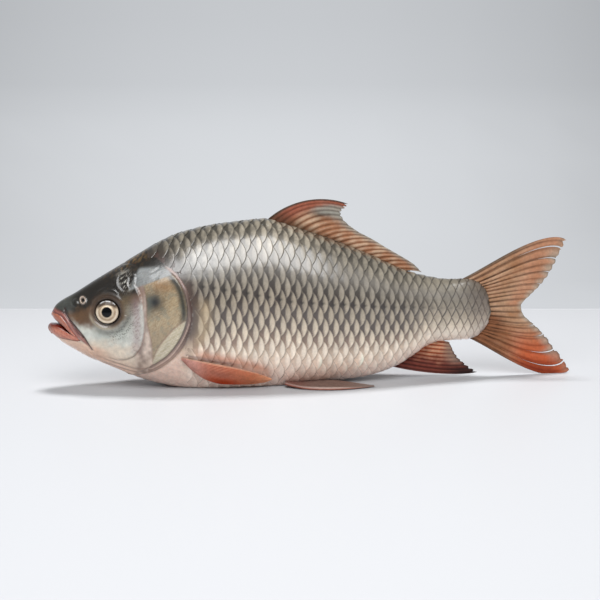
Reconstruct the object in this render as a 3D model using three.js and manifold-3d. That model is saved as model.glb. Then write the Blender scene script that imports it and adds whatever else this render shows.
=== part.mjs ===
// A whole raw carp-like fish, resting upright on its belly.
// Units are millimetres, with +Z up. The head points along -X and the tail along +X, and the fish is
// the same on both sides of the plane Y = 0. The origin is on the surface the fish rests on, halfway
// between the lips and the tip of the tail.
//
// The body is one closed skin made of cross-sections, with an open mouth, two eye sockets and a flat
// patch on the belly where the flesh presses on the surface. The fins are thin plates whose roots
// follow the skin, and the eyes are flattened balls in their sockets.
import * as THREE from "three";
import { mergeVertices } from "three/addons/utils/BufferGeometryUtils.js";
import Module from "manifold-3d";

const wasm = await Module();
wasm.setup();
const { Manifold, Mesh } = wasm;

// ---- Driving dimensions -------------------------------------------------------------------------

const BODY_LENGTH = 335.5; // lips to the end of the scales on the tail
const SNOUT_X = -200; // tip of the lower lip
const LAYOUT_LENGTH = 335.5; // the body length on which the places of the fins are laid out
const BODY_HEIGHT = 124.2; // resting surface to the highest point of the back
const BODY_WIDTH = 65.2; // across the flanks at the widest point
const GAP = 0.35; // clearance between the skin and what is set in it or grows out of it

const RINGS = 44; // cross-sections along the body
const AROUND = 26; // points around one cross-section

const MOUTH_CORNER_BACK = 17.5; // from the tip of the lower lip back to the corner of the mouth
const MOUTH_GAPE = 6.4; // height of the open mouth at its front
const LOWER_LIP_TOP = 49.3; // height of the top of the lower lip

const EYE_RADIUS = 9.3; // seen from the side
const EYE_DEPTH = 7.2; // from the middle of the eye to its outermost point
const EYE_BACK = 43.2; // from the tip of the lower lip back to the middle of the eye
const EYE_HEIGHT = 60.0;
const EYE_PROUD = 3.2; // how far the eye stands out of the cheek

const MEDIAN_FIN_THICKNESS = 1.6; // dorsal and anal fins
const TAIL_FIN_THICKNESS = 2.2;
const TAIL_FIN_LENGTH = 84; // from its foremost ray to the tip of the lower lobe
const TAIL_FORK_DEPTH = 41; // from the tips of the lobes forward to the fork
const TAIL_FIN_REACH = 64.5; // how far the lower lobe reaches beyond the end of the scales
const PAIRED_FIN_THICKNESS = 1.2; // pectoral and pelvic fins
const PECTORAL_FIN_LENGTH = 67;
const PELVIC_FIN_LENGTH = 64;
const PELVIC_FIN_WIDTH = 23;

// ---- Body profile -------------------------------------------------------------------------------

// Each row is one cross-section, in shares of the body's own length, height and width:
// [how far back, back line, belly line, width, height of the widest point].
// Belly lines below zero are the flesh that the resting surface presses flat.
const SECTIONS = [
  [0.0, 0.391, 0.37, 0.06, 0.38],
  [0.004, 0.43, 0.342, 0.115, 0.388],
  [0.009, 0.468, 0.332, 0.165, 0.398],
  [0.017, 0.505, 0.312, 0.235, 0.402],
  [0.031, 0.534, 0.279, 0.33, 0.402],
  [0.06, 0.577, 0.229, 0.445, 0.4],
  [0.082, 0.614, 0.193, 0.52, 0.403],
  [0.104, 0.651, 0.164, 0.58, 0.41],
  [0.15, 0.724, 0.111, 0.69, 0.425],
  [0.192, 0.792, 0.06, 0.78, 0.44],
  [0.238, 0.862, 0.018, 0.86, 0.447],
  [0.283, 0.914, -0.012, 0.92, 0.452],
  [0.328, 0.948, -0.033, 0.96, 0.455],
  [0.388, 0.977, -0.044, 0.99, 0.457],
  [0.447, 0.993, -0.04, 1.0, 0.457],
  [0.48, 1.0, -0.033, 0.995, 0.457],
  [0.52, 0.972, -0.022, 0.98, 0.455],
  [0.572, 0.924, -0.006, 0.95, 0.452],
  [0.636, 0.863, 0.005, 0.88, 0.45],
  [0.686, 0.807, 0.016, 0.8, 0.448],
  [0.738, 0.746, 0.045, 0.7, 0.444],
  [0.782, 0.69, 0.088, 0.585, 0.44],
  [0.817, 0.655, 0.146, 0.5, 0.436],
  [0.852, 0.63, 0.208, 0.425, 0.432],
  [0.884, 0.614, 0.233, 0.36, 0.428],
  [0.91, 0.61, 0.235, 0.305, 0.424],
  [0.94, 0.611, 0.236, 0.24, 0.42],
  [0.965, 0.595, 0.252, 0.185, 0.416],
  [0.985, 0.548, 0.3, 0.14, 0.412],
  [0.996, 0.475, 0.352, 0.1, 0.408],
  [1.0, 0.425, 0.392, 0.07, 0.406],
];
const BACK_ROUNDNESS = 2.05; // 2 is an ellipse, and more is squarer
const BELLY_ROUNDNESS = 2.3;

// Smooth curve through the rows of a table, from its first column to another one. It never
// overshoots the rows, so a level stretch stays level.
function curveThrough(rows, column) {
  const at = rows.map((row) => row[0]);
  const value = rows.map((row) => row[column]);
  const slope = at.slice(1).map((a, i) => (value[i + 1] - value[i]) / (a - at[i]));
  const tangent = at.map((_, i) => {
    if (i === 0 || i === at.length - 1) return slope[Math.min(i, slope.length - 1)];
    const [before, after] = [slope[i - 1], slope[i]];
    return before * after <= 0 ? 0 : (2 * before * after) / (before + after);
  });
  return (a) => {
    const i = Math.max(0, Math.min(at.length - 2, at.findIndex((b) => b > a) - 1));
    const last = a >= at[at.length - 1] ? at.length - 2 : i;
    const span = at[last + 1] - at[last];
    const t = Math.max(0, Math.min(1, (a - at[last]) / span));
    const [t2, t3] = [t * t, t * t * t];
    return (
      (2 * t3 - 3 * t2 + 1) * value[last] +
      (t3 - 2 * t2 + t) * span * tangent[last] +
      (3 * t2 - 2 * t3) * value[last + 1] +
      (t3 - t2) * span * tangent[last + 1]
    );
  };
}

const backLine = curveThrough(SECTIONS, 1);
const bellyLine = curveThrough(SECTIONS, 2);
const widthLine = curveThrough(SECTIONS, 3);
const widestLine = curveThrough(SECTIONS, 4);

const shareAt = (x) => (x - SNOUT_X) / BODY_LENGTH;
const backAt = (x) => backLine(shareAt(x)) * BODY_HEIGHT;
const bellyAt = (x) => bellyLine(shareAt(x)) * BODY_HEIGHT;
const halfWidthAt = (x) => (widthLine(shareAt(x)) * BODY_WIDTH) / 2;
const widestAt = (x) => widestLine(shareAt(x)) * BODY_HEIGHT;

// A point of the skin. Turn is the angle around the cross-section, from 0 on the back through 90
// degrees on the flank at -Y to 180 degrees under the belly.
function skinPoint(x, turn) {
  const upper = Math.cos(turn) >= 0;
  const power = 2 / (upper ? BACK_ROUNDNESS : BELLY_ROUNDNESS);
  const side = Math.sign(Math.sin(turn)) * Math.abs(Math.sin(turn)) ** power;
  const rise = Math.abs(Math.cos(turn)) ** power;
  const middle = widestAt(x);
  const z = upper ? middle + rise * (backAt(x) - middle) : middle - rise * (middle - bellyAt(x));
  return new THREE.Vector3(x, -side * halfWidthAt(x), z);
}

// Height z on the flank given as the turn that skinPoint takes.
function turnAtHeight(x, z) {
  const middle = widestAt(x);
  const below = z < middle;
  const reach = below ? middle - bellyAt(x) : backAt(x) - middle;
  const rise = Math.min(1, Math.abs(z - middle) / reach);
  const angle = Math.acos(rise ** ((below ? BELLY_ROUNDNESS : BACK_ROUNDNESS) / 2));
  return below ? Math.PI - angle : angle;
}

// Outward direction of the skin at a point given as for skinPoint.
function skinNormal(x, turn) {
  const step = 0.01;
  const along = skinPoint(x + 1, turn).sub(skinPoint(x - 1, turn));
  const around = skinPoint(x, turn + step).sub(skinPoint(x, turn - step));
  return around.cross(along).normalize();
}

// ---- Solids -------------------------------------------------------------------------------------

// Geometry to a manifold-3d solid.
function solid(geometry) {
  const bare = geometry.clone();
  bare.deleteAttribute("normal");
  bare.deleteAttribute("uv");
  const merged = mergeVertices(bare, 1e-3);
  const vertProperties = new Float32Array(merged.attributes.position.array);
  const triVerts = new Uint32Array(merged.index.array);
  return new Manifold(new Mesh({ numProp: 3, vertProperties, triVerts }));
}

// A manifold-3d solid to a geometry.
function geometryOf(made) {
  const { vertProperties, triVerts } = made.getMesh();
  const geometry = new THREE.BufferGeometry();
  geometry.setAttribute("position", new THREE.BufferAttribute(vertProperties, 3));
  geometry.setIndex(new THREE.BufferAttribute(triVerts, 1));
  geometry.computeVertexNormals();
  return geometry;
}

// Closed skin made of rings of points, each ring an array of Vector3 in the same order, with an end
// point that closes each end.
function skinOfRings(rings, first, last) {
  const points = [first, ...rings.flat(), last];
  const count = rings[0].length;
  const index = [];
  const at = (ring, i) => 1 + ring * count + (i % count);
  for (let i = 0; i < count; i++) {
    index.push(0, at(0, i + 1), at(0, i));
    for (let ring = 0; ring < rings.length - 1; ring++) {
      index.push(at(ring, i), at(ring + 1, i + 1), at(ring + 1, i));
      index.push(at(ring, i), at(ring, i + 1), at(ring + 1, i + 1));
    }
    index.push(points.length - 1, at(rings.length - 1, i), at(rings.length - 1, i + 1));
  }
  const geometry = new THREE.BufferGeometry().setFromPoints(points);
  geometry.setIndex(index);
  return geometry;
}

// The body's skin, grown outwards by grow.
function bodySkin(grow) {
  const rings = [];
  for (let ring = 0; ring < RINGS; ring++) {
    // The rings lie closer together at both ends, where the body curves in.
    const share = 0.5 - 0.5 * Math.cos((Math.PI * (ring + 0.6)) / (RINGS + 0.2));
    const x = SNOUT_X + (0.35 * share + 0.65 * (ring + 0.12) / (RINGS - 0.76)) * BODY_LENGTH;
    const turns = Array.from({ length: AROUND }, (_, i) => (2 * Math.PI * i) / AROUND);
    rings.push(
      turns.map((turn) => skinPoint(x, turn).addScaledVector(skinNormal(x, turn), grow)),
    );
  }
  const tailX = SNOUT_X + BODY_LENGTH;
  const first = new THREE.Vector3(SNOUT_X - grow, 0, widestAt(SNOUT_X));
  const last = new THREE.Vector3(tailX + grow, 0, widestAt(tailX));
  return solid(skinOfRings(rings, first, last));
}

// Plate between two faces given by points on a grid, where faceAt(a, b, side) gives the point for a
// along the fin and b across it, each from 0 to 1, and side is 0 for one face and 1 for the other.
function plate(faceAt, alongSteps, acrossSteps) {
  const rings = [];
  for (let i = 0; i <= alongSteps; i++) {
    const a = i / alongSteps;
    const near = [];
    const far = [];
    for (let j = 0; j <= acrossSteps; j++) {
      near.push(faceAt(a, j / acrossSteps, 0));
      far.unshift(faceAt(a, j / acrossSteps, 1));
    }
    rings.push([...near, ...far]);
  }
  const middle = (ring) =>
    ring.reduce((sum, p) => sum.add(p), new THREE.Vector3()).divideScalar(ring.length);
  return skinOfRings(rings, middle(rings[0]), middle(rings[rings.length - 1]));
}

// Flat fin in the plane Y = 0 from the points of its outline, [x, z]. Each group of points is one
// smooth stretch, and the stretches meet in corners.
function medianFin(stretches, thickness) {
  const shape = new THREE.Shape();
  stretches.forEach((stretch, n) => {
    const points = stretch.map(([x, z]) => new THREE.Vector2(x, z));
    if (n === 0) shape.moveTo(points[0].x, points[0].y);
    else shape.lineTo(points[0].x, points[0].y);
    if (points.length > 2) shape.splineThru(points.slice(1));
    else shape.lineTo(points[1].x, points[1].y);
  });
  const geometry = new THREE.ExtrudeGeometry(shape, {
    depth: thickness,
    bevelEnabled: false,
    curveSegments: 3,
  });
  geometry.translate(0, 0, -thickness / 2);
  geometry.rotateX(Math.PI / 2);
  return solid(geometry);
}

const mirrored = (made) => made.mirror([0, 1, 0]);

// ---- Body, mouth and eyes -----------------------------------------------------------------------

// Open mouth: a slit through the snout, widest at the front and closing down and back to its corners.
function mouthSlit() {
  const front = SNOUT_X - 5;
  const corner = SNOUT_X + MOUTH_CORNER_BACK;
  const upper = LOWER_LIP_TOP + MOUTH_GAPE;
  const shape = new THREE.Shape();
  shape.moveTo(front, upper);
  shape.quadraticCurveTo(corner - 9, LOWER_LIP_TOP + 3, corner, LOWER_LIP_TOP - 6.6);
  shape.lineTo(corner - 1, LOWER_LIP_TOP - 7.3);
  shape.quadraticCurveTo(corner - 6, LOWER_LIP_TOP, front, LOWER_LIP_TOP);
  const geometry = new THREE.ExtrudeGeometry(shape, {
    depth: BODY_WIDTH,
    bevelEnabled: false,
    curveSegments: 6,
  });
  geometry.translate(0, 0, -BODY_WIDTH / 2);
  geometry.rotateX(Math.PI / 2);
  return solid(geometry);
}

// Left eye, grown outwards by grow.
function eyeBall(grow) {
  const x = SNOUT_X + EYE_BACK;
  const cheek = skinPoint(x, turnAtHeight(x, EYE_HEIGHT));
  const geometry = new THREE.SphereGeometry(1, 20, 10);
  geometry.scale(EYE_RADIUS + grow, EYE_DEPTH + grow, EYE_RADIUS + grow);
  geometry.translate(x, cheek.y - EYE_PROUD + EYE_DEPTH, EYE_HEIGHT);
  return solid(geometry);
}

// Everything below the resting surface.
function underFloor() {
  const size = 2 * BODY_LENGTH;
  const geometry = new THREE.BoxGeometry(size, size, BODY_HEIGHT);
  geometry.translate(0, 0, -BODY_HEIGHT / 2);
  return solid(geometry);
}

// ---- Fins ---------------------------------------------------------------------------------------

// The fins keep their places on a longer or shorter body: back is how far behind the lips a place is
// on a body of the layout's length.
const STRETCH = BODY_LENGTH / LAYOUT_LENGTH;
const placeOnBody = (back) => SNOUT_X + back * STRETCH;

// Dorsal fin: it leans back, with its tallest ray first and a long low stretch behind.
function dorsalFin() {
  const frontX = placeOnBody(160.5);
  const rearX = placeOnBody(264);
  const root = 7; // how far the fin starts below the back line, before the skin cuts it
  const middleX = (frontX + rearX) / 2;
  const rootAt = (x) => [x, backAt(x) - root];
  const rise = (back, height) => [frontX + back * STRETCH, backAt(frontX) + height];
  return medianFin(
    [
      [rootAt(frontX + 4), [frontX, backAt(frontX) - 0.5]],
      [
        [frontX, backAt(frontX) - 0.5],
        rise(14.5, 7.2),
        rise(25, 11.3),
        rise(45, 13.8),
        rise(57, 12.9),
        rise(61.5, 11.3),
      ],
      [
        rise(61.5, 11.3),
        rise(56.8, 6.5),
        rise(58.5, -2.2),
        rise(69.5, -9.7),
        rise(91, -21.7),
        rise(113, -34.6),
        rise(119.6, -41.6),
      ],
      [rise(119.6, -41.6), [rearX + 2, backAt(rearX) - 0.5]],
      [[rearX + 2, backAt(rearX) - 0.5], rootAt(rearX), rootAt(middleX)],
    ],
    MEDIAN_FIN_THICKNESS,
  );
}

// Anal fin: its longest ray is in front, and its tip touches the surface.
function analFin() {
  const frontX = placeOnBody(259);
  const rearX = placeOnBody(285.5);
  const root = 8; // how far the fin starts above the belly line, before the skin cuts it
  const at = (back, z) => [frontX + back * STRETCH, z];
  return medianFin(
    [
      [
        [frontX, bellyAt(frontX) + 0.5],
        at(8, 6.6),
        at(20.5, 3.4),
        at(33, 0.9),
        at(44, 0),
        at(57, 0),
        at(62.6, 1.8),
      ],
      [
        at(62.6, 1.8),
        at(55.5, 6.5),
        at(46, 16),
        at(42.4, 25.8),
      ],
      [at(42.4, 25.8), [rearX, bellyAt(rearX) - 0.4]],
      [
        [rearX, bellyAt(rearX) - 0.4],
        [rearX, bellyAt(rearX) + root],
        [frontX + 4, bellyAt(frontX) + root],
      ],
    ],
    MEDIAN_FIN_THICKNESS,
  );
}

// Tail fin: two lobes around a fork, the lower one resting on the surface.
function tailFin() {
  const tipX = SNOUT_X + BODY_LENGTH + TAIL_FIN_REACH; // tip of the lower lobe
  const rootX = tipX - TAIL_FIN_LENGTH;
  const forkX = tipX - TAIL_FORK_DEPTH;
  const forkZ = widestAt(SNOUT_X + BODY_LENGTH) + 3.5;
  const top = backAt(rootX);
  const bottom = bellyAt(rootX);
  return medianFin(
    [
      [
        [rootX, top - 0.8],
        [rootX + 15, top + 9.4],
        [rootX + 36, top + 20.5],
        [rootX + 57, top + 30.2],
        [rootX + 65, top + 31.3],
        [rootX + 73, top + 30.5],
        [rootX + 78.2, top + 27.5],
      ],
      [
        [rootX + 78.2, top + 27.5],
        [rootX + 71.1, top + 13.7],
        [rootX + 65, top + 2.5],
        [rootX + 55.4, top - 9],
        [forkX, forkZ],
      ],
      [
        [forkX, forkZ],
        [forkX + 11.3, 39.3],
        [forkX + 19, 31.8],
        [forkX + 28.5, 19.7],
        [tipX, 3],
      ],
      [
        [tipX, 3],
        [tipX - 7, 0],
        [tipX - 19, 0],
        [tipX - 40, 6],
        [tipX - 66, 20.2],
        [rootX, bottom + 0.8],
      ],
    ],
    TAIL_FIN_THICKNESS,
  );
}

// Left pectoral fin: a leaf that lies on the lower flank and follows its curve.
function pectoralFin() {
  const rootX = placeOnBody(97);
  const rootHeight = 25; // middle of the fin's root
  const tipHeight = 8.5;
  const halfWidth = new THREE.CubicBezierCurve(
    new THREE.Vector2(0, 4.2),
    new THREE.Vector2(0.3, 12.5),
    new THREE.Vector2(0.75, 11.5),
    new THREE.Vector2(1, 1.6),
  );
  const faceAt = (a, b, side) => {
    const x = rootX + a * PECTORAL_FIN_LENGTH;
    const middle = rootHeight + (tipHeight - rootHeight) * a ** 0.75;
    const height = Math.max(4, middle + (b - 0.5) * 2 * halfWidth.getPoint(a).y);
    const turn = turnAtHeight(x, height);
    const lift = GAP + 0.25 + 2.2 * a + side * PAIRED_FIN_THICKNESS;
    return skinPoint(x, turn).addScaledVector(skinNormal(x, turn), lift);
  };
  return solid(plate(faceAt, 12, 6));
}

// Left pelvic fin: a leaf that spreads out flat on the surface beside the belly.
function pelvicFin() {
  const root = new THREE.Vector3(placeOnBody(176), -15.5, 4.2);
  const faceAt = (a, b, side) => {
    const spread = PELVIC_FIN_WIDTH * (0.22 + 0.78 * Math.sin(Math.PI * (0.1 + 0.9 * a) ** 0.85));
    const x = root.x + a * PELVIC_FIN_LENGTH - 3 * b * (1 - a);
    const y = root.y - 11 * Math.sin((Math.PI / 2) * a) - (b - 0.42) * spread;
    const low = root.z * (1 - Math.min(1, a / 0.3)) ** 2 * (1 - 0.5 * b);
    const crown = 2.6 * (1 - b) * Math.sin(Math.PI * Math.min(1, a + 0.05));
    return new THREE.Vector3(x, y, low + crown + (1 - side) * PAIRED_FIN_THICKNESS);
  };
  return solid(plate(faceAt, 14, 6));
}

// ---- Assembly -----------------------------------------------------------------------------------

const floor = underFloor();
const grown = bodySkin(GAP);
const leftEye = eyeBall(0);
const leftSocket = eyeBall(GAP);
const body = bodySkin(0)
  .subtract(floor)
  .subtract(mouthSlit())
  .subtract(leftSocket)
  .subtract(mirrored(leftSocket));

// A fin ends where the skin begins and stays above the resting surface. Slivers that the cut leaves
// inside the body's outline are dropped, because only the largest piece is the fin.
function trimmed(fin) {
  const pieces = fin.subtract(grown).subtract(floor).decompose();
  return pieces.reduce((a, b) => (a.volume() > b.volume() ? a : b));
}

const leftPectoral = trimmed(pectoralFin());
const leftPelvic = trimmed(pelvicFin());

const skinMaterial = new THREE.MeshStandardMaterial({ color: 0x9c9385, roughness: 0.35 });
const eyeMaterial = new THREE.MeshStandardMaterial({ color: 0xd9c9a8, roughness: 0.08 });
const brownFinMaterial = new THREE.MeshStandardMaterial({ color: 0xa87455, roughness: 0.4 });
const redFinMaterial = new THREE.MeshStandardMaterial({ color: 0xc0603f, roughness: 0.4 });
const greyFinMaterial = new THREE.MeshStandardMaterial({ color: 0x93827a, roughness: 0.4 });

const fish = new THREE.Group();

function add(name, made, material) {
  const mesh = new THREE.Mesh(geometryOf(made), material);
  mesh.name = name;
  fish.add(mesh);
}

add("body", body, skinMaterial);
add("eye_left", leftEye, eyeMaterial);
add("eye_right", mirrored(leftEye), eyeMaterial);
add("dorsal_fin", trimmed(dorsalFin()), brownFinMaterial);
add("anal_fin", trimmed(analFin()), redFinMaterial);
add("tail_fin", trimmed(tailFin()), brownFinMaterial);
add("pectoral_fin_left", leftPectoral, redFinMaterial);
add("pectoral_fin_right", mirrored(leftPectoral), redFinMaterial);
add("pelvic_fin_left", leftPelvic, greyFinMaterial);
add("pelvic_fin_right", mirrored(leftPelvic), greyFinMaterial);

export default fish;
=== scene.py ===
"""A whole raw carp-like fish lying upright on its belly on a white table.

Shapes are worked out in millimetres in the row's frame: the head points along -X, the tail along +X,
the left side is at -Y and the table is Z = 0. They become metres when a mesh is made. Everything is
the same on both sides of Y = 0, so most shapes are made for the left side and mirrored.
"""

import math

import bpy
import numpy as np
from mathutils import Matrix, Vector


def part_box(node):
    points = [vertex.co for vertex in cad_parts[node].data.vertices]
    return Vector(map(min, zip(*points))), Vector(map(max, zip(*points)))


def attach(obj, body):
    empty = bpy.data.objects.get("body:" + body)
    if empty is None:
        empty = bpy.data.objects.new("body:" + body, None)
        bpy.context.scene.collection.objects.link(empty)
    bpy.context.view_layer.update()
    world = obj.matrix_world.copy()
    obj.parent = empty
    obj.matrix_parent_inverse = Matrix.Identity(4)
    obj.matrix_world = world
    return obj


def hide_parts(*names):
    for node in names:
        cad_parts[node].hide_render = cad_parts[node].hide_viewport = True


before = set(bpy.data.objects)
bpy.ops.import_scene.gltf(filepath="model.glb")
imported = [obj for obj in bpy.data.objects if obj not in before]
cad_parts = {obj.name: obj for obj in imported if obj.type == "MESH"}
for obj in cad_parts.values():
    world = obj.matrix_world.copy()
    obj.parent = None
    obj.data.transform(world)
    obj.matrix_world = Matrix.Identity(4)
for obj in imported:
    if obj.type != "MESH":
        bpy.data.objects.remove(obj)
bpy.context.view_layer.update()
MM = 0.001

# ---- Sizes, from the frame -------------------------------------------------------------------------

BODY_LOW, BODY_HIGH = (np.array(corner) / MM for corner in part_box("body"))
SNOUT_X = BODY_LOW[0]
BODY_LENGTH = BODY_HIGH[0] - BODY_LOW[0]
BODY_HEIGHT = 124.2
BODY_WIDTH = 65.2
EYE_LOW, EYE_HIGH = (np.array(corner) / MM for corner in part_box("eye_left"))
EYE = (EYE_LOW + EYE_HIGH) / 2
TINT_GAIN = 0.86  # the light is strong, so tints that read right on screen are darker on the surface
FLOOR_GAP = 0.05  # the belly stays this far above the table

# ---- Small tools -----------------------------------------------------------------------------------


def curve_through(rows, column=1):
    """A smooth curve through the rows of a table that never overshoots them."""
    rows = np.array(rows, float)
    at, value = rows[:, 0], rows[:, column]
    slope = np.diff(value) / np.diff(at)
    tangent = np.empty_like(value)
    tangent[0], tangent[-1] = slope[0], slope[-1]
    before, after = slope[:-1], slope[1:]
    total = np.where(before + after == 0, 1, before + after)
    tangent[1:-1] = np.where(before * after > 0, 2 * before * after / total, 0)

    def read(a):
        a = np.clip(a, at[0], at[-1])
        i = np.clip(np.searchsorted(at, a, side="right") - 1, 0, len(at) - 2)
        span = at[i + 1] - at[i]
        t = (a - at[i]) / span
        return (
            (2 * t**3 - 3 * t**2 + 1) * value[i]
            + (t**3 - 2 * t**2 + t) * span * tangent[i]
            + (3 * t**2 - 2 * t**3) * value[i + 1]
            + (t**3 - t**2) * span * tangent[i + 1]
        )

    return read


def smoothstep(low, high, a):
    t = np.clip((a - low) / (high - low), 0, 1)
    return t * t * (3 - 2 * t)


def bell(distance, width):
    return np.exp(-((distance / width) ** 2))


def between(a, b, share):
    """Numbers a and b mixed by share, which is 0 at a and 1 at b."""
    return a + (b - a) * share


def mix(a, b, share):
    """Colours or points a and b mixed by share, which is 0 at a and 1 at b."""
    share = np.asarray(share, float)[..., None]
    return a * (1 - share) + b * share


def taper(along, power=0.4):
    """Strength of a line that fades at its two ends."""
    return np.sin(math.pi * np.clip(along, 0.02, 0.98)) ** power


def rgb(red, green, blue):
    """A screen colour from 0 to 255, as linear light."""
    c = np.array([red, green, blue]) / 255
    return np.where(c <= 0.04045, c / 12.92, ((c + 0.055) / 1.055) ** 2.4)


def noise(points, size, seed, octaves=3):
    """Smooth random values, mostly between -1 and 1, with patches of about that size."""
    rng = np.random.default_rng(seed)
    total = np.zeros(points.shape[:-1])
    for octave in range(octaves):
        waves = rng.normal(size=(7, 3))
        waves /= np.linalg.norm(waves, axis=1)[:, None]
        waves *= rng.uniform(0.7, 1.4, size=(7, 1)) * 2 * math.pi / size * 1.9**octave
        phase = rng.uniform(0, 2 * math.pi, 7)
        total += np.sin(points @ waves.T + phase).sum(-1) / 3.2 * 0.6**octave
    return total


def smooth_path(points, per_step=12):
    """Points along a rounded path through the given ones."""
    points = np.array(points, float)
    ends = 2 * points[0] - points[1], 2 * points[-1] - points[-2]
    p = np.vstack([ends[0], points, ends[1]])
    t = np.linspace(0, 1, per_step, endpoint=False)[:, None]
    out = []
    for a, b, c, d in zip(p, p[1:], p[2:], p[3:]):
        out.append(
            0.5 * (2 * b + (c - a) * t + (2 * a - 5 * b + 4 * c - d) * t**2)
            + 0.5 * (3 * b - 3 * c + d - a) * t**3
        )
    out.append(points[-1:])
    return np.vstack(out)


def path_distance(x, z, path):
    """Distance from each point to a path in the side view, the same distance with a sign (positive on the
    tail side of a path that runs down), and how far along the path the nearest point is, from 0 to 1."""
    points = np.stack([x.ravel(), z.ravel()], 1)
    starts, steps = path[:-1], np.diff(path, axis=0)
    best = np.full(len(points), 1e9)
    side = np.zeros(len(points))
    along = np.zeros(len(points))
    for i, (start, step) in enumerate(zip(starts, steps)):
        offset = points - start
        share = np.clip(offset @ step / (step @ step + 1e-12), 0, 1)
        gap = offset - share[:, None] * step
        distance = np.hypot(gap[:, 0], gap[:, 1])
        closer = distance < best
        best = np.where(closer, distance, best)
        cross = offset[:, 1] * step[0] - offset[:, 0] * step[1]
        side = np.where(closer, np.sign(cross), side)
        along = np.where(closer, (i + share) / len(steps), along)
    return tuple(a.reshape(x.shape) for a in (best, side * best, along))


# ---- The body's own surface ------------------------------------------------------------------------

# The same cross-sections as the CAD body, in shares of its length, height and width:
# how far back, back line, belly line, width, height of the widest point.
SECTIONS = [
    (0.0, 0.391, 0.37, 0.06, 0.38),
    (0.004, 0.43, 0.342, 0.115, 0.388),
    (0.009, 0.468, 0.332, 0.165, 0.398),
    (0.017, 0.505, 0.312, 0.235, 0.402),
    (0.031, 0.534, 0.279, 0.33, 0.402),
    (0.06, 0.577, 0.229, 0.445, 0.4),
    (0.082, 0.614, 0.193, 0.52, 0.403),
    (0.104, 0.651, 0.164, 0.58, 0.41),
    (0.15, 0.724, 0.111, 0.69, 0.425),
    (0.192, 0.792, 0.06, 0.78, 0.44),
    (0.238, 0.862, 0.018, 0.86, 0.447),
    (0.283, 0.914, -0.012, 0.92, 0.452),
    (0.328, 0.948, -0.033, 0.96, 0.455),
    (0.388, 0.977, -0.044, 0.99, 0.457),
    (0.447, 0.993, -0.04, 1.0, 0.457),
    (0.48, 1.0, -0.033, 0.995, 0.457),
    (0.52, 0.972, -0.022, 0.98, 0.455),
    (0.572, 0.924, -0.006, 0.95, 0.452),
    (0.636, 0.863, 0.005, 0.88, 0.45),
    (0.686, 0.807, 0.016, 0.8, 0.448),
    (0.738, 0.746, 0.045, 0.7, 0.444),
    (0.782, 0.69, 0.088, 0.585, 0.44),
    (0.817, 0.655, 0.146, 0.5, 0.436),
    (0.852, 0.63, 0.208, 0.425, 0.432),
    (0.884, 0.614, 0.233, 0.36, 0.428),
    (0.91, 0.61, 0.235, 0.305, 0.424),
    (0.94, 0.611, 0.236, 0.24, 0.42),
    (0.965, 0.595, 0.252, 0.185, 0.416),
    (0.985, 0.548, 0.3, 0.14, 0.412),
    (0.996, 0.475, 0.352, 0.1, 0.408),
    (1.0, 0.425, 0.392, 0.07, 0.406),
]
BACK_ROUNDNESS = 2.05  # 2 is an ellipse, and more is squarer
BELLY_ROUNDNESS = 2.3

SECTION_LINES = [curve_through(SECTIONS, column) for column in (1, 2, 3, 4)]


def section(x):
    """Back line, belly line, half width and height of the widest point at x."""
    share = (x - SNOUT_X) / BODY_LENGTH
    back, belly, width, widest = (line(share) for line in SECTION_LINES)
    return back * BODY_HEIGHT, belly * BODY_HEIGHT, width * BODY_WIDTH / 2, widest * BODY_HEIGHT


def skin_point(x, turn):
    """A point of the smooth left side: turn goes from 0 on the back through pi/2 to pi below."""
    x, turn = np.broadcast_arrays(np.asarray(x, float), np.asarray(turn, float))
    back, belly, half, widest = section(x)
    upper = np.cos(turn) >= 0
    power = np.where(upper, 2 / BACK_ROUNDNESS, 2 / BELLY_ROUNDNESS)
    side = np.sign(np.sin(turn)) * np.abs(np.sin(turn)) ** power
    rise = np.abs(np.cos(turn)) ** power
    z = np.where(upper, widest + rise * (back - widest), widest - rise * (widest - belly))
    return np.stack([x, -side * half, z], -1)


def skin_normal(x, turn):
    along = skin_point(x + 1, turn) - skin_point(x - 1, turn)
    around = skin_point(x, turn + 0.02) - skin_point(x, turn - 0.02)
    normal = np.cross(around, along)
    length = np.linalg.norm(normal, axis=-1, keepdims=True)
    return normal / np.maximum(length, 1e-9)


def turn_at(x, z):
    """The turn at height z on the left flank."""
    back, belly, _, widest = section(x)
    below = z < widest
    reach = np.where(below, widest - belly, back - widest)
    rise = np.clip(np.abs(z - widest) / reach, 0, 1)
    angle = np.arccos(rise ** (np.where(below, BELLY_ROUNDNESS, BACK_ROUNDNESS) / 2))
    return np.where(below, math.pi - angle, angle)


def above_table(points, gap=FLOOR_GAP):
    points[..., 2] = np.maximum(points[..., 2], gap)
    return points


# ---- Meshes ----------------------------------------------------------------------------------------


def make_mesh(name, points, faces, colours):
    """A smooth mesh object from points in millimetres, with a linear colour for each point."""
    mesh = bpy.data.meshes.new(name)
    mesh.from_pydata((np.asarray(points) * MM).tolist(), [], faces)
    layer = mesh.color_attributes.new("Tint", "FLOAT_COLOR", "POINT")
    rgba = np.ones((len(points), 4), np.float32)
    rgba[:, :3] = np.clip(colours * TINT_GAIN, 0, 1)
    layer.data.foreach_set("color", rgba.ravel())
    mesh.validate()
    mesh.shade_smooth()
    made = bpy.data.objects.new(name, mesh)
    bpy.context.scene.collection.objects.link(made)
    return made


def grid_faces(rows, columns, start=0, closed=False, flip=False):
    """Faces of a grid of points stored row by row."""
    r, c = np.meshgrid(np.arange(rows - 1), np.arange(columns if closed else columns - 1), indexing="ij")
    here = start + r * columns + c
    right = start + r * columns + (c + 1) % columns
    quads = np.stack([here, right, right + columns, here + columns], -1).reshape(-1, 4)
    return (quads[:, ::-1] if flip else quads).tolist()


def mirrored(points):
    return points * np.array([1, -1, 1])


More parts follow.
